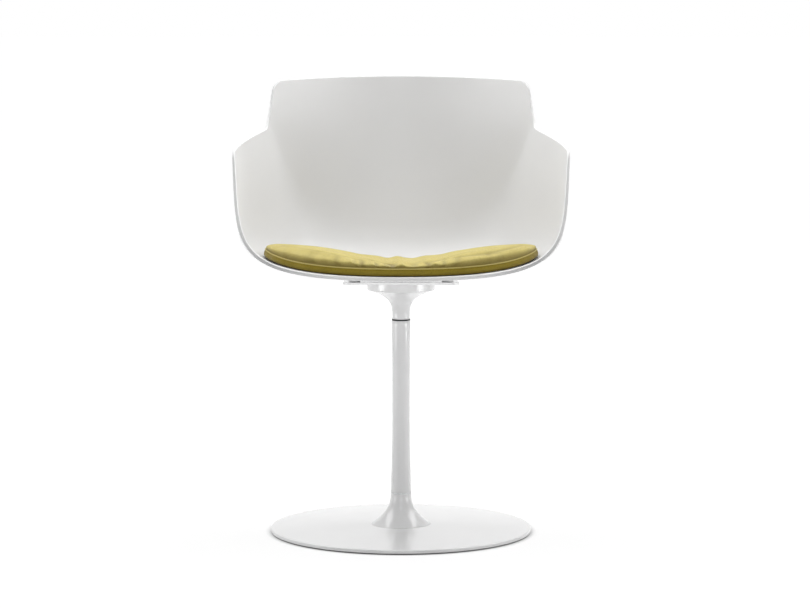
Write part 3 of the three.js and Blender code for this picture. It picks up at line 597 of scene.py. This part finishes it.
def isolator(number, x, y):
    """Rubber spacer with a faintly bulging side."""
    low = MOUNT_TOP + TOUCH_GAP
    high = low + ISOLATOR_HEIGHT
    ends = ISOLATOR_RADIUS - 0.3
    profile = fillet([(ISOLATOR_BORE, low), (ends, low, 0.6),
                      (ISOLATOR_RADIUS, (low + high) / 2, 0), (ends, high, 0.6),
                      (ISOLATOR_BORE, high)], 0.3)
    points, faces = lathe(profile, SMALL_SIDES)
    piece(f"rubber_{number}", (under_seat(points, x, y), faces), "seat", "isolator_rubber",
          f"isolator_{number}")


# Seat shell

def through_keys(keys):
    """Natural cubic curve through evenly spaced keys, read by a share of its length."""
    last = len(keys) - 1
    bend, carry = [0.0] * (last + 1), [0.0] * (last + 1)
    for i in range(1, last):
        carry[i] = 1 / (4 - carry[i - 1])
        bend[i] = (6 * (keys[i + 1] - 2 * keys[i] + keys[i - 1]) - bend[i - 1]) * carry[i]
    for i in range(last - 1, 0, -1):
        bend[i] -= carry[i] * bend[i + 1]

    def read(share):
        place = share * last
        i = min(max(math.floor(place), 0), last - 1)
        b = place - i
        a = 1 - b
        swell = ((a ** 3 - a) * bend[i] + (b ** 3 - b) * bend[i + 1]) / 6
        return a * keys[i] + b * keys[i + 1] + swell
    return read


# What each rib is shaped by, at a share of the centre line
rim_x = through_keys([s * RIM_X for s in RIM_X_SHARES])
rim_y = through_keys([s * RIM_Y for s in RIM_Y_SHARES])
rib_flat = through_keys(RIB_FLAT)
rib_upright = through_keys(RIB_UPRIGHT)
rib_flare = through_keys(RIB_FLARE)

SEAT_LENGTH = SEAT_RUN / math.cos(RAKE)
BEND_LENGTH = BEND * (math.pi / 2 + RAKE - RECLINE)
BEND_Y = SEAT_RUN + LIP_Y + BEND * math.sin(RAKE)
BEND_Z = LIP_Z - SEAT_RUN * math.tan(RAKE) + BEND * math.cos(RAKE)
BACK_Y = BEND_Y + BEND * math.cos(RECLINE)
BACK_Z = BEND_Z - BEND * math.sin(RECLINE)
BACK_LENGTH = (SHELL_TOP - BACK_Z) / math.cos(RECLINE)


def centre_line(share):
    """Depth and height of the middle surface in the plane of symmetry, from lip to top."""
    along = share * (SEAT_LENGTH + BEND_LENGTH + BACK_LENGTH)
    if along <= SEAT_LENGTH:
        return LIP_Y + along * math.cos(RAKE), LIP_Z - along * math.sin(RAKE)
    if along <= SEAT_LENGTH + BEND_LENGTH:
        turn = (along - SEAT_LENGTH) / BEND - RAKE
        return BEND_Y + BEND * math.sin(turn), BEND_Z - BEND * math.cos(turn)
    up = along - SEAT_LENGTH - BEND_LENGTH
    return BACK_Y + up * math.sin(RECLINE), BACK_Z + up * math.cos(RECLINE)


def rib(share):
    """Right half of the rib at a share of the centre line, read by an array of shares."""
    y, z = centre_line(share)
    dy, dz = rim_y(share) - y, RIM_Z - z
    height = math.hypot(dy, dz)
    dy, dz = dy / height, dz / height
    width = rim_x(share)
    flare = math.radians(rib_flare(share))
    upright = rib_upright(share) * height
    xs = (0, rib_flat(share) * width, width - upright * math.sin(flare), width)
    hs = (0, 0, height - upright * math.cos(flare), height)

    def at(t):
        t = np.asarray(t, float)
        weights = ((1 - t) ** 3, 3 * t * (1 - t) ** 2, 3 * t * t * (1 - t), t ** 3)
        x = sum(w * k for w, k in zip(weights, xs))
        h = sum(w * k for w, k in zip(weights, hs))
        return np.stack([x, y + h * dy, z + h * dz], -1)
    return at


def outline_height(y):
    """Height of the trimmed outline at a depth: the arms' line, a round notch and the back's."""
    arm = ARM_TIP_Z + (y - ARM_TIP_Y) * math.tan(ARM_RISE)
    back = BACK_EDGE_Z + (y - BACK_EDGE_Y) / math.tan(BACK_EDGE_LEAN)
    high, low = max(arm, back), min(arm, back)
    return high + NOTCH * math.log1p(math.exp((low - high) / NOTCH))


HALVINGS = 26
NUDGE = 1e-3


def rib_end(at):
    """Where a rib meets the outline, found by halving."""
    low, high = 0.2, 1.0
    for _ in range(HALVINGS):
        middle = (low + high) / 2
        point = at(middle)
        if point[2] > outline_height(point[1]):
            high = middle
        else:
            low = middle
    return (low + high) / 2


def edge_speed(share):
    """Length of trimmed edge for each share of the centre line, near one of its ends."""
    step = 10 * NUDGE
    a, b = rib(share), rib(share + step if share < 0.5 else share - step)
    return np.linalg.norm(a(rib_end(a)) - b(rib_end(b))) / step


def corner_cut(share, corner, reach):
    """How far a round corner takes the edge back, at a share of the way from the end."""
    into = min(share / reach, 1)
    return corner * (1 - math.sqrt(1 - (1 - into) ** 2))


def shell_rows(steps, corner_steps, columns):
    """Rows of (point, normal, half thickness) over the trimmed shell, front edge first."""
    front, back = ARM_CORNER / edge_speed(0), BACK_CORNER / edge_speed(1)
    corner = [1 - math.cos(math.pi / 2 * k / corner_steps) for k in range(corner_steps)]
    places = [front * c for c in corner]
    places += [front + (1 - front - back) * k / steps for k in range(steps + 1)]
    places += [1 - back * c for c in reversed(corner)]
    across = np.linspace(-1, 1, columns + 1)
    side = np.where(across < 0, -1.0, 1.0)
    half = (WALL + (WALL_EDGE - WALL) * np.abs(across) ** 3) / 2
    rows = []
    for share in places:
        at = rib(share)
        end = rib_end(at)
        speed = np.linalg.norm(at(end) - at(end - NUDGE)) / NUDGE
        cut = corner_cut(share, ARM_CORNER, front) + corner_cut(1 - share, BACK_CORNER, back)
        t = np.abs(across) * (end - (cut + WALL_EDGE / 2) / speed)
        point = at(t)
        slope = at(t + NUDGE) - point
        after, before = min(share + NUDGE, 1), max(share - NUDGE, 0)
        normal = np.cross(slope, rib(after)(t) - rib(before)(t))
        normal /= np.linalg.norm(normal, axis=1)[:, None]
        point[:, 0] *= side
        normal[:, 0] *= side
        rows.append((point, normal, half))
    return rows


MIDDLE, NORMALS, HALF = (np.array(part) for part in zip(
    *shell_rows(SHELL_STEPS, ARM_CORNER_ROWS, SHELL_COLUMNS)))
INNER = (MIDDLE + NORMALS * HALF[..., None]).reshape(-1, 3)
FACING_UP = NORMALS.reshape(-1, 3)[:, 2] > 0.3
SEAT_FACE, SEAT_FACE_NORMALS = INNER[FACING_UP], NORMALS.reshape(-1, 3)[FACING_UP]


def seat_height(x, y):
    """Height of the shell's upper face at a place, and the slope of that face."""
    away = (SEAT_FACE[:, 0] - x) ** 2 + (SEAT_FACE[:, 1] - y) ** 2
    nearest = int(np.argmin(away))
    point, normal = SEAT_FACE[nearest], SEAT_FACE_NORMALS[nearest]
    lift = (normal[0] * (point[0] - x) + normal[1] * (point[1] - y)) / normal[2]
    return point[2] + lift, normal[2]


def ramp(value, start, run, strength=1):
    """0 up to start, then straight up to strength over a run."""
    return min(max((value - start) / run, 0), 1) * strength


def painted_edge_shade(point, row):
    """How much painted shade darkens the cut edge, from 0 to 1."""
    x, _, z = point
    if row < ARM_CORNER_ROWS:
        return (ramp(abs(x), *EDGE_SHADE_ACROSS) + EDGE_SHADE_LEAST) * (1 - row / ARM_CORNER_ROWS)
    return ramp(z, *EDGE_SHADE_UP)


def bosses():
    """Hollow bosses under the seat that hold the inserts and stand on the isolators."""
    low = MOUNT_TOP + ISOLATOR_HEIGHT + 2 * TOUCH_GAP
    root, fillet_size = -2.2, 0.6
    points, faces = lathe([(INSERT_BORE, low + INSERT_DEPTH), (INSERT_BORE, low),
                           (BOSS_RADIUS - 0.6, low), (BOSS_RADIUS, low + 0.5),
                           (BOSS_RADIUS, root), (BOSS_RADIUS + fillet_size, root + fillet_size)],
                          SMALL_SIDES, closed=False)
    return [(under_seat(points, x, y), faces) for x, y in SCREW_PLACES]


def seat_shell():
    """Both faces of the shell, a rounded edge all round them, and the bosses."""
    n_rows, n_cols = MIDDLE.shape[:2]
    points = [*INNER, *(MIDDLE - NORMALS * HALF[..., None]).reshape(-1, 3)]
    offset = len(INNER)
    faces = grid(n_rows, n_cols)
    faces += [[offset + a, offset + d, offset + c, offset + b] for a, b, c, d in faces]
    loop = border(n_rows, n_cols)
    outwards = []
    for i, here in enumerate(loop):
        run = MIDDLE[loop[(i + 1) % len(loop)]] - MIDDLE[loop[i - 1]]
        out = np.cross(run, NORMALS[here])
        outwards.append(out / np.linalg.norm(out))
    rings = [[offset + r * n_cols + c for r, c in loop]]
    edge_shade = [0.0] * len(points)
    for side in (-1, 1):
        for step in range(RIM_STEPS + 1):
            turn = step / RIM_STEPS if side < 0 else 1 - step / RIM_STEPS
            over, up = math.sin(math.pi / 2 * turn), math.cos(math.pi / 2 * turn)
            rings.append([len(points) + i for i in range(len(loop))])
            for (r, c), out in zip(loop, outwards):
                flat = HALF[r, c] - RIM_ROUND
                edge_shade.append(painted_edge_shade(MIDDLE[r, c], r) if side < 0 or step == 0 else 0.0)
                points.append(MIDDLE[r, c] + (flat + RIM_ROUND * over) * out
                              + side * (flat + RIM_ROUND * up) * NORMALS[r, c])
    rings.append([r * n_cols + c for r, c in loop])
    faces += between(rings)
    obj = piece("shell", joined((points, faces), *bosses()), "seat", "white_shell", "seat_shell")
    edge_shade += [0.0] * (len(obj.data.vertices) - len(edge_shade))
    # The cut edge's painted shade, kept on the mesh as its edge mark for the shell's material
    edge = obj.data.attributes.new("edge", "FLOAT", "POINT")
    edge.data.foreach_set("value", edge_shade)


# Seat pad

def seat_line(y):
    """Height of the seat's upper face in the plane of symmetry."""
    radius = BEND - WALL / 2
    if y > BEND_Y - radius * math.sin(RAKE):
        return BEND_Z - math.sqrt(max(radius ** 2 - (y - BEND_Y) ** 2, 0))
    return LIP_Z - (y - LIP_Y) * math.tan(RAKE) + WALL / 2 / math.cos(RAKE)


def board_face(x, y):
    """Height of the board's lower face: the seat's line, bent up towards the sides."""
    return seat_line(y) + PAD_STACK + PAD_BEND * abs(x / PAD_X) ** PAD_BEND_POWER


def pad_plan(angle, inset):
    """Place in plan at an angle round the pad, this far inside its outline."""
    c, s = math.cos(angle), math.sin(angle)
    x = PAD_X * math.copysign(abs(c) ** PAD_CORNER, c)
    y = PAD_Y * math.copysign(abs(s) ** PAD_CORNER, s)
    size = math.hypot(x, y)
    kept = max(size - inset - PAD_DRAW_IN * math.cos(2 * angle) ** 2, 0) / size
    return x * kept, y * kept + PAD_CENTRE_Y, size


def reach_down(angle):
    """How far under the board the side band reaches, at an angle round the pad."""
    least = 99.0
    for inset in (0, 3, 6):
        x, y, _ = pad_plan(angle, inset)
        height, slope = seat_height(x, y)
        least = min(least, (board_face(x, y) - height) * slope - BAND_CLEARANCE)
    return max(least, PAD_SKIRT)


REACH_EXACT = [reach_down(TAU * k / REACH_STEPS) for k in range(REACH_STEPS)]
REACH = [sum(REACH_EXACT[(k + j) % REACH_STEPS] for j in range(-REACH_BLUR, REACH_BLUR + 1))
         / (2 * REACH_BLUR + 1) for k in range(REACH_STEPS)]


def band_bottom(angle):
    """Height of the side band's lower edge over the board."""
    place = (angle % TAU) / TAU * REACH_STEPS
    low = int(place)
    share = place - low
    return -(REACH[low % REACH_STEPS] * (1 - share) + REACH[(low + 1) % REACH_STEPS] * share)


def seam_height(angle, x):
    """Height of the seam over the board: the side band gets narrower towards the ends."""
    width = (PAD_BOXING + PAD_SKIRT) * (1 - BAND_TAPER * min(abs(x / PAD_X), 1) ** 2)
    return band_bottom(angle) + width


def leant(angle, x, y, height):
    """Place this high over the board, leant inwards as the bent pad's ends are."""
    slope = PAD_BEND * PAD_BEND_POWER / PAD_X * abs(x / PAD_X) ** (PAD_BEND_POWER - 1)
    return (x - math.copysign(slope, x) * (height - band_bottom(angle)), y,
            board_face(x, y) + height)


def pad_point(angle, inset, height):
    """Place on the side band, its height given as a share from its bottom to the seam."""
    x, y, _ = pad_plan(angle, inset)
    low, high = band_bottom(angle), seam_height(angle, x)
    return leant(angle, x, y, low + (high - low) * height)


def board_point(angle, inset, height):
    x, y, _ = pad_plan(angle, inset)
    return x, y, board_face(x, y) + height


# Puckers along the front seam: (place across, half width, height, length, lean)
FRONT_PUCKERS = [
    (3, 5, 3.4, 30, -0.35), (57, 4.5, 3.0, 26, -0.3), (-81, 5, 2.2, 24, -0.4),
    (-43, 4, 1.8, 20, -0.5), (-26, 3.5, 1.6, 16, -0.5), (-9, 4, -2.6, 20, -0.6),
    (-19, 3, -1.9, 14, -0.6), (-35, 3.5, -2.4, 16, -0.5), (-60, 4.5, -2.3, 18, -0.4),
    (-72, 3, -1.6, 12, -0.4), (47, 4, -2.4, 20, -0.3), (68, 4, -1.8, 15, 0.3),
    (20, 6, -1.0, 24, 0.2), (90, 6, -1.1, 20, 0.4), (-104, 6, -1.1, 20, -0.3)]
LOOSE_PUCKERS = 44
# Lengthwise folds where the pad bends: (place across, half width, height, sway)
FOLDS = ((-4, 9, 3.2, 2.0), (-24, 8, -1.4, 3.0), (22, 10, -1.5, 2.5), (46, 10, 1.3, 4.0),
         (68, 10, -0.8, 5.0), (-50, 12, 0.9, 5.0), (-74, 12, -0.7, 6.0), (98, 14, 0.6, 7.0))
# Creases: (place across, inset, place across, inset, half width, height)
CREASES = ((-88, 62, -50, 36, 5, -1.1), (-50, 36, -10, 9, 4, -1.3), (122, 60, 74, 34, 5, -1.1),
           (74, 34, 50, 12, 4, -1.2), (-30, 70, -14, 30, 5, -0.8), (40, 66, 26, 30, 5, -0.8))
CREASED_STRIP = 90
# The crease along each side, and the bank between it and the seam: (height, half width)
SIDE_CREASE_INSET, SIDE_CREASE, SIDE_BANK, SIDE_BANK_OFF = 21.0, (2.6, 5), (1.0, 7), 10
SIDE_CREASE_FROM, SIDE_CREASE_FADE = 90, 80
SIDE_WAVE, SIDE_WAVE_LENGTH = 4, 31
FOLD_SWAY_TURNS = 3.1
REAR_PUCKERS = 0.4  # height of a pucker behind the middle, as a share
# Painted shade on the leather: at the side crease (strength, half width), for each millimetre that
# a pucker or a crease is deep, how all of these count together, and the half width along the seam
SIDE_SHADE, PUCKER_SHADE, CREASE_SHADE, FOLDED_SHADE, SEAM_SHADE = (0.8, 4), 0.9, 0.5, 0.6, 3.5
# How the top rises from the seam, quickly and slowly: (share, reach)
ROLL = ((0.55, 3.2), (0.45, 14))
FULLNESS = ((0.5, 5), (0.5, 24))


def loose_puckers():
    """Faint puckers at chance places, shaped as those of the front seam."""
    rng = random.Random(SEED)
    return [(rng.uniform(-225, 225), rng.uniform(3, 7), rng.uniform(-0.5, 0.5),
             rng.uniform(9, 26), rng.uniform(-0.4, 0.4)) for _ in range(LOOSE_PUCKERS)]


PUCKERS = FRONT_PUCKERS + loose_puckers()


def risen(d, parts):
    """Share of the full height reached at a distance from the seam."""
    (quick, quick_reach), (slow, slow_reach) = parts
    return 1 - quick * math.exp(-d / quick_reach) - slow * math.exp(-d / slow_reach)


def hump(off, half_width):
    return math.exp(-(off / half_width) ** 2)


def to_segment(x, d, x0, d0, x1, d1):
    """Distance from a place to a straight crease."""
    run_x, run_d = x1 - x0, d1 - d0
    along = ((x - x0) * run_x + (d - d0) * run_d) / (run_x ** 2 + run_d ** 2)
    along = min(max(along, 0), 1)
    return math.hypot(x - x0 - along * run_x, d - d0 - along * run_d)


def top_rise(x, y, angle, inset):
    """Height of the top panel over the board, and how much painted shade darkens it, from 0 to 1.
    """
    d = max(inset - SEAM_DEPTH, 0)
    full = risen(d, FULLNESS)
    across = min(abs(x / PAD_X), 1)
    swell = math.sin(math.pi * across ** PAD_SWELL_LEAN) ** PAD_SWELL_POWER
    low = seam_height(angle, x)
    height = low + (PAD_THICK - low) * risen(d, ROLL) + PAD_SWELL * swell * full
    along = (y - PAD_CENTRE_Y) / PAD_Y
    for x0, width, size, sway in FOLDS:
        middle = x0 + sway * math.sin(FOLD_SWAY_TURNS * along + x0)
        height += size * full ** 1.5 * hump(x - middle, width)
    side = 1 - math.exp(-(x / SIDE_CREASE_FROM) ** 4)
    side *= ramp(PAD_CENTRE_Y - y, 0, SIDE_CREASE_FADE)
    line = SIDE_CREASE_INSET + SIDE_WAVE * math.sin(x / SIDE_WAVE_LENGTH) + (3 if x < 0 else -2)
    hollow = SIDE_SHADE[0] * side * hump(d - line, SIDE_SHADE[1])
    height -= SIDE_CREASE[0] * side * hump(d - line, SIDE_CREASE[1])
    height += SIDE_BANK[0] * side * hump(d - line + SIDE_BANK_OFF, SIDE_BANK[1])
    front = y < PAD_CENTRE_Y
    for place, width, size, length, lean in PUCKERS:
        off = x - place - lean * d
        if abs(off) < 3 * width:
            size *= hump(off, width) * hump(d, length) * min(d / 3, 1)
            size *= 1 if front else REAR_PUCKERS
            height += size
            hollow -= PUCKER_SHADE * min(size, 0)
    if front and d < CREASED_STRIP:
        for *ends, width, size in CREASES:
            away = to_segment(x, d, *ends)
            if away < 3 * width:
                size *= hump(away, width)
                height += size
                hollow -= CREASE_SHADE * min(size, 0)
    return height, min(hollow * FOLDED_SHADE + hump(d, SEAM_SHADE), 1)


PAD_CELLS = 104
# Loops of the side band from the seam to its tuck under: (inset, share of the band's height)
BAND = ((3.0, 0.96), (2.3, 0.90), (1.8, 0.81), (1.5, 0.69), (1.4, 0.55), (1.5, 0.41),
        (1.8, 0.28), (2.3, 0.16), (3.1, 0.06), (4.5, 0.0), (7.0, 0.0), (10.0, 0.03), (13.0, 0.06))
BAND_WAVES = ((0.25, 19, 2), (0.15, 43, 0))  # (size, number round the pad, start)
# Painted shade on the band: darker up to one share of its height, past another, and at the pad's
# ends
DARK_BELOW, DARK_ABOVE, DARK_ENDS = (0.42, 2.2), (0.85, 3), 0.3
ROLL_OUT, ROLL_DEPTH = 8.0, 14.0  # the top bulges out over the band this far
CELL_POWER = 1.22  # above 1 the top's cells are smaller towards the seam


def on_disc(i, j):
    """A cell's corner of the square grid, laid out on a round disc of radius 1."""
    u, v = 2 * i / PAD_CELLS - 1, 2 * j / PAD_CELLS - 1
    return u * math.sqrt(1 - v * v / 2), v * math.sqrt(1 - u * u / 2)


def band_shade(x, height):
    """How much painted shade darkens the side band at a share of its height."""
    return (max(DARK_BELOW[0] - height, 0) * DARK_BELOW[1]
            + max(height - DARK_ABOVE[0], 0) * DARK_ABOVE[1] + DARK_ENDS * abs(x / PAD_X) ** 3)


def pad_sheet():
    """Points, faces, loops of the band with the seam's first, and how much painted shade darkens
    each point.
    """
    points, shade = [], []
    n = PAD_CELLS + 1
    for j in range(n):
        for i in range(n):
            a, b = on_disc(i, j)
            angle = math.atan2(b, a)
            share = 1 - (1 - min(math.hypot(a, b), 1.0)) ** CELL_POWER
            outline = pad_plan(angle, 0)[2]
            rim = outline - SEAM_DEPTH - PAD_DRAW_IN * math.cos(2 * angle) ** 2
            inset = SEAM_DEPTH + (1 - share) * rim
            x, y, _ = pad_plan(angle, inset)
            rise, hollow = top_rise(x, y, angle, inset)
            height = board_face(x, y) + rise
            shade.append(hollow)
            depth = (inset - SEAM_DEPTH) / ROLL_DEPTH
            if depth < 1:
                x, y, _ = pad_plan(angle, inset - ROLL_OUT * math.sin(math.pi * depth))
            points.append((leant(angle, x, y, rise)[0], y, height))
    faces, loop = grid(n, n), border(n, n)
    angles = [math.atan2(*on_disc(i, j)[::-1]) for j, i in loop]
    rings = [[j * n + i for j, i in loop]]
    for inset, height in BAND:
        rings.append([len(points) + k for k in range(len(loop))])
        for angle in angles:
            swell = sum(size * math.sin(n * angle + start) for size, n, start in BAND_WAVES)
            bulge = swell * max(0, 1 - abs(height - 0.5) / 0.5)
            points.append(pad_point(angle, inset - bulge, height))
            shade.append(band_shade(points[-1][0], height))
    for high, low in zip(rings, rings[1:]):
        faces += between([low, high])
    return points, faces, rings, shade


CLOTH_FRAMES = 20
CLOTH_CAP = 2.2
SPARE_MIDDLE, SPARE_WIDTH, SPARE_LEAST = 12, 70, 0.02
CLOTH = {
    "quality": 6, "mass": 0.3, "tension_stiffness": 25, "compression_stiffness": 25,
    "shear_stiffness": 12, "bending_stiffness": 1.2, "use_pressure": True,
    "uniform_pressure_force": 4, "vertex_group_mass": "held", "vertex_group_shrink": "spare",
    "shrink_min": 0.0, "shrink_max": -0.035}


def settle(obj, rings):
    """Blows the cover up as cloth held at its seams, then keeps each point near its start."""
    pinned = {v for ring in rings for v in ring}
    obj.vertex_groups.new(name="held").add(sorted(pinned), 1.0, "REPLACE")
    spare = obj.vertex_groups.new(name="spare")
    for vertex in obj.data.vertices:
        weight = hump(vertex.co.x / MM - SPARE_MIDDLE, SPARE_WIDTH)
        if weight > SPARE_LEAST and vertex.index not in pinned:
            spare.add([vertex.index], weight, "REPLACE")
    start = np.array([v.co for v in obj.data.vertices])
    cloth = obj.modifiers.new("cloth", "CLOTH")
    for key, value in CLOTH.items():
        setattr(cloth.settings, key, value)
    cloth.settings.effector_weights.gravity = 0
    cloth.collision_settings.use_self_collision = False
    cloth.point_cache.frame_start = 1
    cloth.point_cache.frame_end = CLOTH_FRAMES
    scene = bpy.context.scene
    for number in range(1, CLOTH_FRAMES + 1):
        scene.frame_set(number)
    done = obj.evaluated_get(bpy.context.evaluated_depsgraph_get()).data
    end = np.array([v.co for v in done.vertices])
    scene.frame_set(1)
    obj.modifiers.remove(cloth)
    move = end - start
    size = np.linalg.norm(move, axis=1, keepdims=True)
    cap = CLOTH_CAP * MM
    move *= cap * np.tanh(size / cap) / np.maximum(size, 1e-9)
    move[sorted(pinned)] = 0
    obj.data.vertices.foreach_set("co", (start + move).ravel())
    obj.data.update()


def tube(loop, radius, sides=10):
    """Points and faces of a closed tube round a loop of points."""
    loop = [np.array(p, float) for p in loop]
    points = []
    for i, p in enumerate(loop):
        run = loop[(i + 1) % len(loop)] - loop[i - 1]
        run /= np.linalg.norm(run)
        out = np.cross(run, (0.0, 0.0, 1.0))
        out /= np.linalg.norm(out)
        lift = np.cross(out, run)
        for k in range(sides):
            angle = TAU * k / sides
            points.append(p + radius * (math.cos(angle) * out + math.sin(angle) * lift))
    rings = [range(i * sides, (i + 1) * sides) for i in range(len(loop))]
    return points, between((rings + rings[:1])[::-1])


def seat_pad():
    """Cover of the pad; its side band is the top's leather, darkened as painted shade."""
    points, faces, rings, shade = pad_sheet()
    obj = piece("pad", (points, faces), "seat", "pad_cover", "pad_cover", "pad_foam")
    # Painted shade in the creases and puckers, along the seam and on the side band
    hollow = obj.data.attributes.new("hollow", "FLOAT", "POINT")
    hollow.data.foreach_set("value", shade)
    settle(obj, rings)
    smooth = obj.modifiers.new("fine", "SUBSURF")
    smooth.levels = smooth.render_levels = 1
    skin = obj.modifiers.new("skin", "SOLIDIFY")
    skin.thickness = COVER_SKIN * MM
    skin.offset = -1
    # The side band: the same leather, darker and with a darker bounce colour, as painted shade
    obj.data.materials.append(leather("pad_band", (142, 124, 22), (155, 137, 34), (112, 96, 14),
                                      (120, 118, 112)))
    for face in obj.data.polygons[PAD_CELLS ** 2:]:
        face.material_index = 1


def pad_piping():
    loop = [pad_point(TAU * k / PIPING_STEPS, PIPING_INSET, PIPING_HEIGHT)
            for k in range(PIPING_STEPS)]
    piece("pad_piping", tube(loop, PIPING_RADIUS), "seat", "pad_cover",
          material=piping_leather())


def pad_board():
    """Stiff board under the cover, rounded at its edge."""
    # (inset, height) of each ring, from the middle of the top round to the middle of the base
    levels = ((110, 1.6), (60, 1.6), (25, 1.6), (8, 1.6), (4.3, 1.6), (3.7, 1.2), (3.7, 0.4),
              (4.3, 0.0), (8, 0.0), (25, 0.0), (60, 0.0), (110, 0.0))
    sides, base = 160, board_face(0, PAD_CENTRE_Y)
    points = [board_point(TAU * k / sides, *level) for level in levels for k in range(sides)]
    rings = [range(i * sides, (i + 1) * sides) for i in range(len(levels))]
    rings = [[len(points)] * sides, *rings, [len(points) + 1] * sides]
    points += [(0, PAD_CENTRE_Y, base + BOARD_THICK), (0, PAD_CENTRE_Y, base)]
    piece("board", (points, between(rings[::-1])), "seat", "pad_board", "pad_board")


# The object

floor_glide()
floor_plate()
trumpet_foot()
washer("ring", BOLT_HOLE, RING_RADIUS, FOOT_TOP, COLUMN_BOTTOM, 0.2, "steel", "foot_ring")
column()
washer("joint_ring", WASHER_BORE, WASHER_RADIUS, COLUMN_TOP - JOINT_SHADOW,
       HUB_BOTTOM + JOINT_SHADOW - 0.05, 0.1, "black_plastic", "thrust_washer")
hub()
mounting_plate()
for index, (across, along) in enumerate(SCREW_PLACES, 1):
    shell_screw(index, across, along)
    isolator(index, across, along)
seat_shell()
seat_pad()
pad_piping()
pad_board()

# Stage, light and camera

def grey(tone):
    return (tone, tone, tone, 1)


def show(tree, output, scattered, seen):
    """Uses one shader for the light that is scattered, and another where it is looked at."""
    path = tree.add("LightPath").outputs
    looked_at = tree.maths("MAXIMUM", path["Is Camera Ray"], path["Is Glossy Ray"])
    looked_at = tree.maths("MAXIMUM", looked_at, path["Is Transmission Ray"])
    pick = tree.add("MixShader", {0: looked_at, 1: scattered.outputs[0], 2: seen.outputs[0]})
    tree.add(output, {"Surface": pick.outputs[0]})


def empty_tree(owner):
    owner.use_nodes = True
    owner.node_tree.nodes.clear()
    return Tree(owner.node_tree)


def floor_material():
    """White floor that the camera and mirrors see as white, but for the object's soft shadow."""
    mat = bpy.data.materials.new("studio_floor")
    tree = empty_tree(mat)
    place = tree.add("TexCoord").outputs["Object"]
    away = tree.add("VectorMath", {0: place}, operation="LENGTH").outputs["Value"]
    # Slightly less bright near the object, and a painted contact shadow in the narrow gap under
    # its plate
    near = tree.squash(away, 0.5, 3.0, 0.82, 1.0)
    gap = tree.add("AmbientOcclusion", {"Distance": 0.012}).outputs["AO"]
    glow = tree.add("Emission", {"Color": grey(1), "Strength": tree.maths("MULTIPLY", near, gap)})
    faint = tree.add("BsdfDiffuse", {"Color": grey(0.22)})
    seen = tree.add("AddShader", {0: faint.outputs[0], 1: glow.outputs[0]})
    show(tree, "OutputMaterial", tree.add("BsdfDiffuse", {"Color": grey(0.85)}), seen)
    return mat


def stage():
    reach = 30000.0
    corners = [(x * reach, y * reach, 0) for x, y in ((-1, -1), (1, -1), (1, 1), (-1, 1))]
    mesh = mesh_of("floor", corners, [[0, 1, 2, 3]])
    mesh.materials.append(floor_material())
    placed("floor", mesh)


def world_light():
    """Faint light from all round, behind a background that is seen as white."""
    world = bpy.data.worlds.new("studio")
    bpy.context.scene.world = world
    tree = empty_tree(world)
    show(tree, "OutputWorld", tree.add("Background", {"Color": grey(1), "Strength": 0.02}),
         tree.add("Background", {"Color": grey(1), "Strength": 1.0}))


# Rectangular lamps: (name, place, aim, width, height, watts, spread if narrow)
LAMPS = (("overhead", (0, 0.1, 3.4), (0, 0, 0.4), 3.0, 3.0, 62),
         ("high_front", (0, -3.6, 2.9), (0, 0.2, 0.6), 1.6, 1.0, 14),
         ("left_side", (-2.0, 0.45, 2.6), (0, 0, 0.6), 1.7, 2.4, 37),
         ("right_side", (2.0, 0.45, 2.6), (0, 0, 0.6), 1.7, 2.4, 40),
         ("left_low", (-2.2, -0.8, 0.3), (0, 0, 0.5), 1.4, 0.7, 0.8, 36),
         ("right_low", (2.2, -0.8, 0.3), (0, 0, 0.5), 1.4, 0.7, 0.9, 36),
         ("low_front", (0, -6.5, 0.6), (0, 0, 0.3), 3.0, 1.0, 32),
         ("behind", (0, 2.6, 2.4), (0, 0, 0.5), 2.6, 1.4, 12))


def lamp(name, place, aim, width, height, watts, spread=180):
    data = bpy.data.lights.new(name, "AREA")
    data.shape = "RECTANGLE"
    data.size, data.size_y = width, height
    data.energy = watts
    data.spread = math.radians(spread)
    obj = placed(name, data)
    obj.location = place
    obj.rotation_euler = (Vector(aim) - Vector(place)).to_track_quat("-Z", "Y").to_euler()


def camera():
    """Camera at the photograph's viewpoint, 1 m over the floor and looking slightly down."""
    data = bpy.data.cameras.new("camera")
    data.lens = 143.0
    data.sensor_width = 36.0
    data.shift_x = 0.0049
    data.dof.use_dof = False
    dip = math.radians(6.375)
    obj = bpy.context.scene.camera = placed("camera", data)
    obj.location = (0, -5.5, 1.01)
    obj.rotation_euler = (math.pi / 2 - dip, 0, 0)


stage()
world_light()
for row in LAMPS:
    lamp(*row)
camera()
bpy.context.scene.view_settings.view_transform = "Standard"
